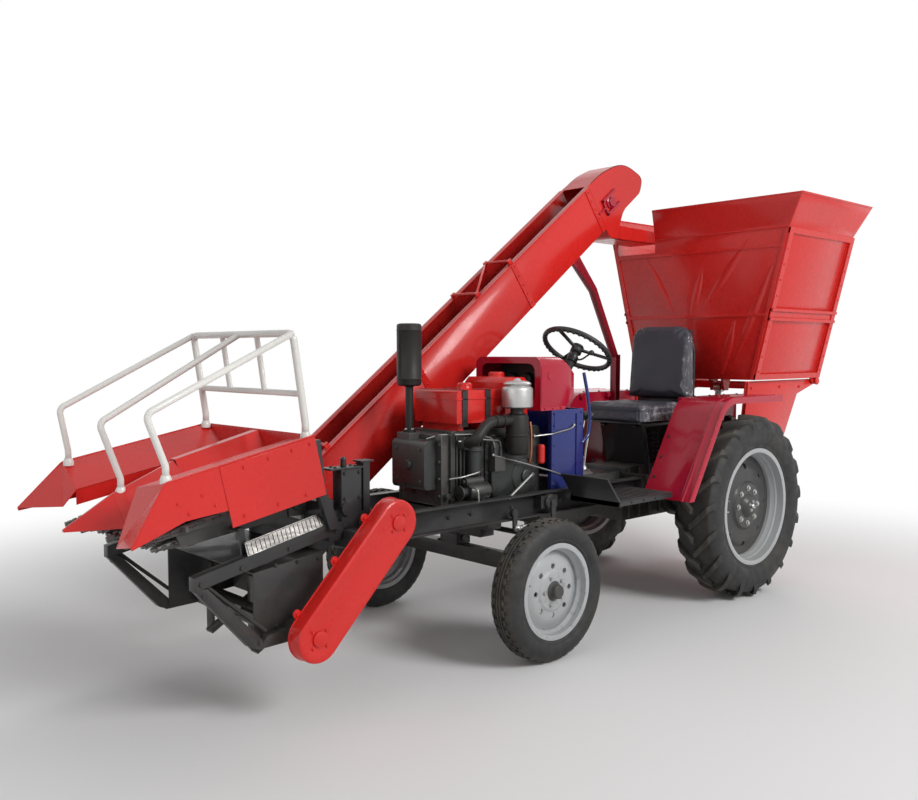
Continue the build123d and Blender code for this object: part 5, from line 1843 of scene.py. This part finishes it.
def gearbox_trim():
    """Ribs, flanges, covers and bolts on the transaxle and its half shafts."""
    trim = Shape()
    for x in (-1300, -1200, -1000, -900, -800, -700):
        trim.box((x, x + 12), (-150, 150), (430, 712))
    trim.box((-1339, -1335), (-120, 120), (440, 700))
    for y in (-100, -50, 50, 100):
        trim.bolt((-1339, y, 460), (-1, 0, 0), 8).bolt((-1339, y, 680), (-1, 0, 0), 8)
    for z in (520, 570, 620):
        trim.bolt((-1339, -105, z), (-1, 0, 0), 8).bolt((-1339, 105, z), (-1, 0, 0), 8)
    trim.turned([(0, 0), (46, 0), (46, -8), (30, -14), (18, -14), (18, -60), (0, -60)], (-1335, 0, 580), "X",
                28)
    for side in (1, -1):
        trim.turned([(60, side * 145), (112, side * 140), (112, side * 165), (60, side * 168)],
                    (REAR_AXLE[0], 0, REAR_AXLE[1]))
        spots = [(REAR_AXLE[0] + 94 * math.cos(a), side * 166, REAR_AXLE[1] + 94 * math.sin(a))
                 for a in (0.3, 1.35, 2.4, 3.45, 4.5, 5.5)]
        trim.bolts(spots, (0, side, 0), 8)
        for a in (0, 90, 180, 270):
            turn = Matrix.Translation((REAR_AXLE[0], 0, REAR_AXLE[1])) @ Matrix.Rotation(math.radians(a), 4,
                                                                                         "Y")
            trim.placing = turn
            trim.prism([(58, side * 166, -4), (96, side * 166, -4), (66, side * 440, -4),
                        (58, side * 440, -4)], (0, 0, 8))
            trim.placing = Matrix.Identity(4)
    trim.rod((-960, 60, 720), (-960, 60, 738), 24, sides=20).rod((-960, 60, 738), (-960, 60, 748), 14,
                                                                 sides=6)
    return trim


def axle_trim():
    trim = Shape()
    for side in (1, -1):
        trim.bolt((520, side * 250, 440), (0, 0, 1), 8)
        trim.bolt((520, side * 100, 440), (0, 0, 1), 8)
        trim.turned([(18.5, 0), (30, 0), (30, 10), (18.5, 10)], (505, side * 505, 464), "Z", 28)
    trim.across(505, 470, 16, (-70, 70))
    return trim


piece("chassis_trim", chassis_trim(), "chassis", "dark_frame_paint", bevel=0.8)
piece("steering_links", steering_links(), "chassis", "bare_steel", bevel=0)
piece("gearbox_trim", gearbox_trim(), "chassis", "engine_iron", bevel=1.0)
piece("axle_trim", axle_trim(), "chassis", "dark_frame_paint", bevel=0.6)


def barrel_trim(foot, eye, radius, share):
    """Weld ring, gland nut and the gland's studs on a cylinder's barrel."""
    start, end = Vector(foot), Vector(eye)
    way = (end - start).normalized()
    length = (end - start).length * share
    trim = Shape()
    trim.rod(start + way * 64, start + way * 76, radius + 3, sides=32)
    trim.rod(start + way * (length - 34), start + way * (length - 1), radius + 4, sides=32)
    for k in range(8):
        a = math.pi / 4 * k
        side = way.orthogonal().normalized()
        other = way.cross(side)
        spot = start + way * (length - 18) + (side * math.cos(a) + other * math.sin(a)) * (radius + 3)
        trim.rod(spot, spot + (side * math.cos(a) + other * math.sin(a)) * 2.5, 4, sides=8)
    return trim


piece("header_barrel_trim", barrel_trim((905, 0, 470), (1425, 0, 600), 32, 0.72), "header_cylinder_barrel",
      "dark_frame_paint", bevel=0.6)
piece("hopper_barrel_trim", barrel_trim((-1700, 0, 600), (-1850, 0, 1140), 36, 0.85),
      "hopper_cylinder_barrel",
      "dark_frame_paint", bevel=0.6)


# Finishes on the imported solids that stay

EDGE_OF = {"fuel_tank": 0.012, "guard_hoop": 0.0, "steering_wheel": 0.0, "hopper_bin": 0.0015}
for name, solid in nodes.items():
    slot = SLOT_OF[name]
    solid.data.materials.clear()
    solid.data.materials.append(FINISH[OWN_FINISH.get(name, slot)])
    weld = solid.modifiers.new("weld", "WELD")
    weld.merge_threshold = 0.00002
    width = EDGE_OF.get(name, 0.0012)
    if width:
        edge_bevel(solid, width, 3 if width > 0.005 else 2)
    solid.data.shade_smooth()
    solid.data.set_sharp_from_angle(angle=math.radians(32))


# Floor, light and camera


def floor_and_light():
    """A pale floor that fades into a white surround, and soft lamps from the machine's left."""
    material = bpy.data.materials.new("floor")
    material.use_nodes = True
    tree = material.node_tree
    surface = tree.nodes["Principled BSDF"]
    surface.inputs["Base Color"].default_value = (0.80, 0.80, 0.80, 1.0)
    surface.inputs["Roughness"].default_value = 0.9

    def node(kind, **values):
        made = tree.nodes.new(kind)
        for key, value in values.items():
            setattr(made, key, value)
        return made

    path = node("ShaderNodeLightPath")
    seen = node("ShaderNodeMath", operation="MAXIMUM")
    tree.links.new(path.outputs["Is Camera Ray"], seen.inputs[0])
    tree.links.new(path.outputs["Is Glossy Ray"], seen.inputs[1])
    place = node("ShaderNodeTexCoord")
    far = node("ShaderNodeVectorMath", operation="LENGTH")
    tree.links.new(place.outputs["Object"], far.inputs[0])
    fade = node("ShaderNodeMapRange", interpolation_type="SMOOTHSTEP")
    fade.inputs["From Min"].default_value = 2.2
    fade.inputs["From Max"].default_value = 5.0
    tree.links.new(far.outputs["Value"], fade.inputs["Value"])
    share = node("ShaderNodeMath", operation="MULTIPLY")
    tree.links.new(seen.outputs[0], share.inputs[0])
    tree.links.new(fade.outputs[0], share.inputs[1])
    white = node("ShaderNodeEmission")
    blend = node("ShaderNodeMixShader")
    tree.links.new(share.outputs[0], blend.inputs[0])
    tree.links.new(surface.outputs[0], blend.inputs[1])
    tree.links.new(white.outputs[0], blend.inputs[2])
    tree.links.new(blend.outputs[0], tree.nodes["Material Output"].inputs["Surface"])

    bpy.ops.mesh.primitive_plane_add(size=60.0, location=(0.0, 0.0, 0.0))
    floor = bpy.context.object
    floor.name = "floor"
    floor.data.materials.append(material)

    world = bpy.data.worlds.new("studio")
    bpy.context.scene.world = world
    world.use_nodes = True
    tree = world.node_tree
    back = tree.nodes["Background"]
    path = tree.nodes.new("ShaderNodeLightPath")
    seen = tree.nodes.new("ShaderNodeMath")
    seen.operation = "MAXIMUM"
    tree.links.new(path.outputs["Is Camera Ray"], seen.inputs[0])
    tree.links.new(path.outputs["Is Glossy Ray"], seen.inputs[1])
    level = tree.nodes.new("ShaderNodeMapRange")
    level.inputs["To Min"].default_value = 0.30
    level.inputs["To Max"].default_value = 1.0
    tree.links.new(seen.outputs["Value"], level.inputs["Value"])
    tree.links.new(level.outputs["Result"], back.inputs["Strength"])
    back.inputs["Color"].default_value = (1.0, 1.0, 1.0, 1.0)

    middle = Vector((0.0, 0.0, 1.0))
    for name, place, size, power in (
        ("key", (-0.6, 7.0, 5.0), 3.0, 430.0), ("fill", (6.5, 0.5, 3.0), 4.0, 50.0),
        ("rim", (-5.5, -2.0, 5.5), 3.0, 120.0),
    ):
        lamp = bpy.data.lights.new(name, "AREA")
        lamp.energy = power
        lamp.size = size
        holder = bpy.data.objects.new(name, lamp)
        holder.location = place
        holder.rotation_euler = (middle - Vector(place)).to_track_quat("-Z", "Y").to_euler()
        bpy.context.scene.collection.objects.link(holder)


def camera():
    data = bpy.data.cameras.new("camera")
    data.sensor_width = SENSOR
    data.lens = FOCAL_PIXELS / IMAGE_WIDTH * SENSOR
    data.shift_y = SHIFT_UP
    holder = bpy.data.objects.new("camera", data)
    yaw, pitch = math.radians(CAMERA_YAW), math.radians(CAMERA_PITCH)
    way = Vector((math.cos(yaw) * math.cos(pitch), math.sin(yaw) * math.cos(pitch), math.sin(pitch)))
    holder.location = CAMERA_AT
    holder.rotation_euler = way.to_track_quat("-Z", "Y").to_euler()
    bpy.context.scene.collection.objects.link(holder)
    bpy.context.scene.camera = holder


floor_and_light()
camera()
bpy.context.scene.view_settings.view_transform = "Standard"
